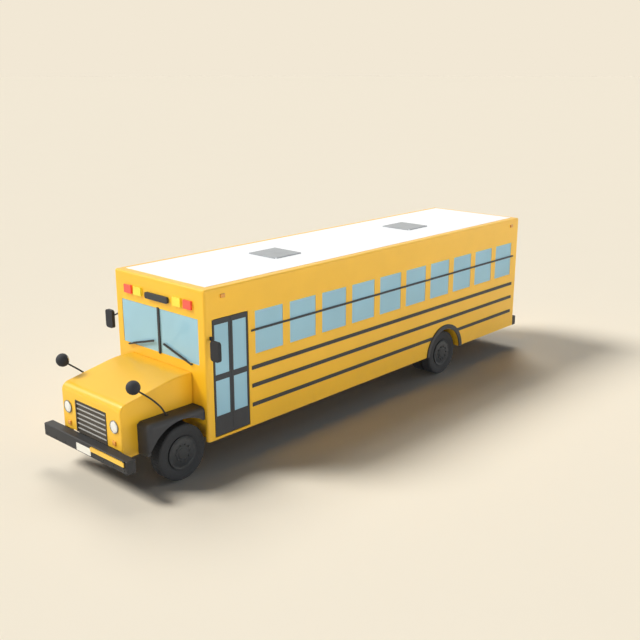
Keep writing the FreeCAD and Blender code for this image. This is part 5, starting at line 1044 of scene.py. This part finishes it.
# %% Grille louvres
GRILLE_BOTTOM = 0.742
GRILLE_TOP = 1.258
LOUVRES = 6
SLAT_STEP = (GRILLE_TOP - GRILLE_BOTTOM) / LOUVRES
SLAT_Y = NOSE_Y + 0.009
SLAT_Z = GRILLE_BOTTOM + SLAT_STEP / 2
SLAT_SIZE = (0.832, 0.016, 0.026)
slat = block("louvre_1", (0, SLAT_Y, SLAT_Z), SLAT_SIZE)
pick(slat, "VERT", lambda place, way: place.y < SLAT_Y and place.z < SLAT_Z)
bpy.ops.transform.translate(value=(0, 0.006, 0.003))
rounded(slat, lambda place, way: abs(way.x) > 0.9, 0.0028, 3)
smoothed(slat, 40)
louvres = [slat]
for place in range(1, LOUVRES):
    louvres.append(copied(slat, f"louvre_{place + 1}", (0, 0, SLAT_STEP * place)))
for piece in louvres:
    mounted(piece, "grille_light", "hood", "grille_light", "grille_slats")
print(len(louvres), "louvres")

# %% [markdown]
# Dome-headed bolts hold the front bumper, and pan-headed screws hold the rub rails every window's width. A
# head is a short drum with its face inset and lifted. It has only a few dozen faces, since there are many.

# %% Bolts and screws
BUMPER_Y = WALL - 1.632
BOLTS_X = (0.55, 0.83, 1.11)
BOLT_Z = 0.545
RAIL_LEVELS = (1.596, 1.270, 0.921)
RAIL_START = 1.10
RAIL_END = 9.45
SCREWS = 11
SCREW_STEP = 0.848
WHEEL_ARCH = (6.0, 7.6)


def make_head(name, middle, radius, high, turn, out, sides=10):
    head = disc(name, middle, radius, turn, sides)
    pick(head, "FACE", anything)
    bpy.ops.mesh.extrude_region_move()
    bpy.ops.transform.translate(value=Vector(out) * high * 0.5)
    pressed(out, (radius * 0.35, high * 0.5))
    return smoothed(head, 40)


first_bolt = make_head("bolt", (BOLTS_X[0], BUMPER_Y, BOLT_Z), 0.014, 0.007, FACING_FRONT, FORWARD)
bolts = [first_bolt]
for x in BOLTS_X[1:]:
    bolts.append(copied(first_bolt, f"bolt_{x}", (x - BOLTS_X[0], 0, 0)))
paired(joined("bumper_bolts_left", bolts), "bumper_black", "chassis", "bumper_black")
top_level = RAIL_LEVELS[0]
first_screw = make_head("screw", (BODY_HALF + 0.0148, WALL + RAIL_START, top_level), 0.011, 0.005,
                        (0, QUARTER, 0), OUTWARD, 8)
screws = [first_screw]
for level in RAIL_LEVELS:
    for step in range(SCREWS):
        y = SCREW_STEP * step
        along = RAIL_START + y
        over_wheel = level == RAIL_LEVELS[-1] and WHEEL_ARCH[0] < along < WHEEL_ARCH[1]
        at_first = level == top_level and step == 0
        if along > RAIL_END or over_wheel or at_first:
            continue
        screws.append(copied(first_screw, f"screw_{level}_{step}", (0, y, level - top_level)))
paired(joined("rail_screws_left", screws), "trim_black", "chassis", "trim_black")
print("bolts and", len(screws), "screws a side")

# %% [markdown]
# The wipers' rubber blades press on the glass under their steel arms. Each blade is a thin lip, so it is a
# narrow block pinched towards the glass. It is shaped level at the origin, then turned and moved to its
# pivot.

# %% Wiper blades
WIPER_TURN = math.radians(15.5)
WIPER_PIVOT = (0.860, WALL - 0.032, 1.847)
LIP_OUT = 0.016
lip = block("wiper_lip_left", (-0.43, LIP_OUT, 0.0), (0.62, 0.016, 0.020))
pick(lip, "VERT", lambda place, way: place.y > LIP_OUT)
bpy.ops.transform.resize(value=(1, 1, 0.25))
rounded(lip, lambda place, way: abs(way.x) > 0.9, 0.0015, 2)
bpy.ops.object.mode_set(mode="OBJECT")
lip.data.transform(Matrix.Translation(WIPER_PIVOT) @ Matrix.Rotation(WIPER_TURN, 4, "Y"))
smoothed(lip, 40)
paired(lip, "seal_rubber", "chassis", "trim_black")
print("wiper blades ready")

# %% [markdown]
# Two steel straps hold the fuel tank, and a round cap closes its filler. A strap is a rounded band: a block
# whose long edges are rounded like the tank's, with its ends taken off and a wall added.

# %% Fuel tank straps and cap
TANK_OUTER = -1.080
TANK_INNER = -0.465
TANK_Z = 0.755
straps = []
for place, y in enumerate((-0.820, -0.120)):
    strap = block(f"tank_strap_{place}", ((TANK_OUTER + TANK_INNER) / 2, y, TANK_Z), (0.616, 0.050, 0.391))
    rounded(strap, lambda place, way: abs(way.y) > 0.9, 0.0455, 6)
    pick(strap, "FACE", lambda place, way: abs(way.y) > 0.9)
    bpy.ops.mesh.delete(type="FACE")
    modified(strap, "SOLIDIFY", thickness=0.004, offset=1.0)
    straps.append(smoothed(strap, 30))
straps = joined("tank_straps", straps)
mounted(straps, "frame_black", "chassis", "tank_grey")
cap = make_head("tank_cap", (TANK_OUTER + 0.001, -0.500, 0.820), 0.055, 0.030, (0, -QUARTER, 0),
                (-1, 0, 0), 32)
mounted(cap, "tank_grey", "chassis", "tank_grey")
print("tank fittings ready")

# %% [markdown]
# The rear door opens from outside with a bar handle in a guard. The bar is a block narrowed at both feet,
# and the guard behind it is a shallow dish.

# %% Rear door handle
HANDLE_X = 0.372
HANDLE_Z = 1.560
PLATE_SIZE = (0.100, 0.008, 0.220)
BAR_SIZE = (0.022, 0.014, 0.180)
dish = block("exit_handle_plate", (HANDLE_X, END_Y + 0.004, HANDLE_Z), PLATE_SIZE)
rounded(dish, lambda place, way: abs(way.y) > 0.9, 0.020, 4)
pick(dish, "FACE", lambda place, way: way.y > 0.9)
pressed(BACKWARD, (0.008, -0.003))
smoothed(dish, 35)
bar = block("exit_handle_bar", (HANDLE_X, END_Y + 0.028, HANDLE_Z), BAR_SIZE)
pick(bar, "FACE", lambda place, way: abs(way.z) > 0.9)
bpy.ops.transform.resize(value=(0.8, 0.8, 1.0))
for sign in (-1, 1):
    pick(bar, "FACE", lambda place, way: way.z * sign > 0.9)
    bpy.ops.mesh.extrude_region_move()
    bpy.ops.transform.translate(value=(0, -0.024, 0.006 * sign))
rounded(bar, anything, 0.002, 2)
smoothed(bar, 40)
mounted(dish, "bright_dark", "exit_door", "trim_black")
mounted(bar, "bright_trim", "exit_door", "trim_black")
print("rear handle", len(dish.data.polygons) + len(bar.data.polygons), "faces")

# %% [markdown]
# The bus stands on a plain pale floor. The floor is wide enough that its edge meets the backdrop unseen,
# and the backdrop's colour comes from the world as the camera, gloss and glass see it, so it throws no
# light of its own.

# %% Floor
FLOOR_TONE = rgb(240, 230, 211)
FLOOR_RADIUS = 700.0
bpy.ops.mesh.primitive_circle_add(vertices=96, radius=FLOOR_RADIUS, fill_type="NGON", location=(0, 0, 0))
floor = bpy.context.object
floor.name = "studio_floor"
tree, shader = finish("studio_floor", 0.9)
tinted(tree, shader, noise(tree, 0.4), [(0.3, FLOOR_TONE), (0.7, shaded(FLOOR_TONE, 1.004))])
shader.inputs["Specular IOR Level"].default_value = 0.0
floor.data.materials.append(FINISHES["studio_floor"])
print("floor of", 2 * FLOOR_RADIUS, "m across")

# %% [markdown]
# A wide soft key light stands high on the driver's side, ahead of the bus, so the shadow falls behind and
# to the entrance side. Two weaker and wider fills come from behind, which leaves a faint shade ahead of the
# bumper. The world is a dim dome with a bright band at eye level, like low screens all round a studio. The
# band leans a little, so it is stronger behind the bus and on the entrance side.

# %% Lights and world
SUN_TONE = (1.0, 0.985, 0.955)
SUNS = [("key_light", (0.80, 0.64, -1.0), 2.95, 20.0),
        ("fill_light", (0.58, -0.58, -1.0), 1.2, 26.0),
        ("low_light", (-0.42, -0.80, -0.42), 0.15, 40.0)]
BAND_POWER = 16.6
BAND_TOP = 0.06
BAND_LEAN = (0.13, 0.26, 0.0)
DOME_TONE = (0.0018, 0.0029, 0.0046)
BACKDROP_TONE = rgb(242, 232, 213)

for name, way, power, width in SUNS:
    bpy.ops.object.light_add(type="SUN", location=(0, 0, 12))
    sun = bpy.context.object
    sun.name = name
    sun.data.energy = power
    sun.data.angle = math.radians(width)
    sun.data.color = SUN_TONE
    sun.rotation_euler = Vector(way).to_track_quat("-Z", "Y").to_euler()

world = bpy.data.worlds.new("studio")
bpy.context.scene.world = world
world.use_nodes = True
tree = world.node_tree
tree.nodes.clear()
direction = tree.nodes.new("ShaderNodeTexCoord").outputs["Generated"]
split = tree.nodes.new("ShaderNodeSeparateXYZ")
tree.links.new(direction, split.inputs["Vector"])
lift = calculated(tree, "ABSOLUTE", split.outputs["Z"])
band = ramp(tree, lift, [(0.0, (1.0, 1.0, 1.0)), (BAND_TOP, DOME_TONE)])
lean = tree.nodes.new("ShaderNodeVectorMath")
lean.operation = "DOT_PRODUCT"
lean.inputs[1].default_value = BAND_LEAN
tree.links.new(direction, lean.inputs[0])
strength = calculated(tree, "MULTIPLY_ADD", lean.outputs["Value"], BAND_POWER, BAND_POWER)
dome = tree.nodes.new("ShaderNodeBackground")
tree.links.new(strength, dome.inputs["Strength"])
tree.links.new(band, dome.inputs["Color"])
backdrop = tree.nodes.new("ShaderNodeBackground")
backdrop.inputs["Color"].default_value = BACKDROP_TONE
rays = tree.nodes.new("ShaderNodeLightPath").outputs
gloss_or_glass = calculated(tree, "MAXIMUM", rays["Is Glossy Ray"], rays["Is Transmission Ray"])
seen = calculated(tree, "MAXIMUM", rays["Is Camera Ray"], gloss_or_glass)
choice = tree.nodes.new("ShaderNodeMixShader")
tree.links.new(seen, choice.inputs["Fac"])
tree.links.new(dome.outputs[0], choice.inputs[1])
tree.links.new(backdrop.outputs[0], choice.inputs[2])
output = tree.nodes.new("ShaderNodeOutputWorld")
tree.links.new(choice.outputs[0], output.inputs["Surface"])
print(len(SUNS), "soft lights and a world of", len(tree.nodes), "nodes")

# %% [markdown]
# The camera stands ahead of the entrance side, a little above the roof, where the photograph was taken.

# %% Camera
CAMERA_PLACE = (11.908, -12.9535, 6.581)
TILT = math.radians(74.117)
TURN = math.radians(42.652)
bpy.ops.object.camera_add(location=CAMERA_PLACE, rotation=(TILT, 0.0, TURN))
camera = bpy.context.object
camera.name = "photo_camera"
camera.data.lens = 50.0
camera.data.sensor_width = 36.0
camera.data.clip_end = 2000.0
bpy.context.scene.camera = camera
bpy.context.scene.view_settings.view_transform = "Standard"
print("camera at", CAMERA_PLACE)
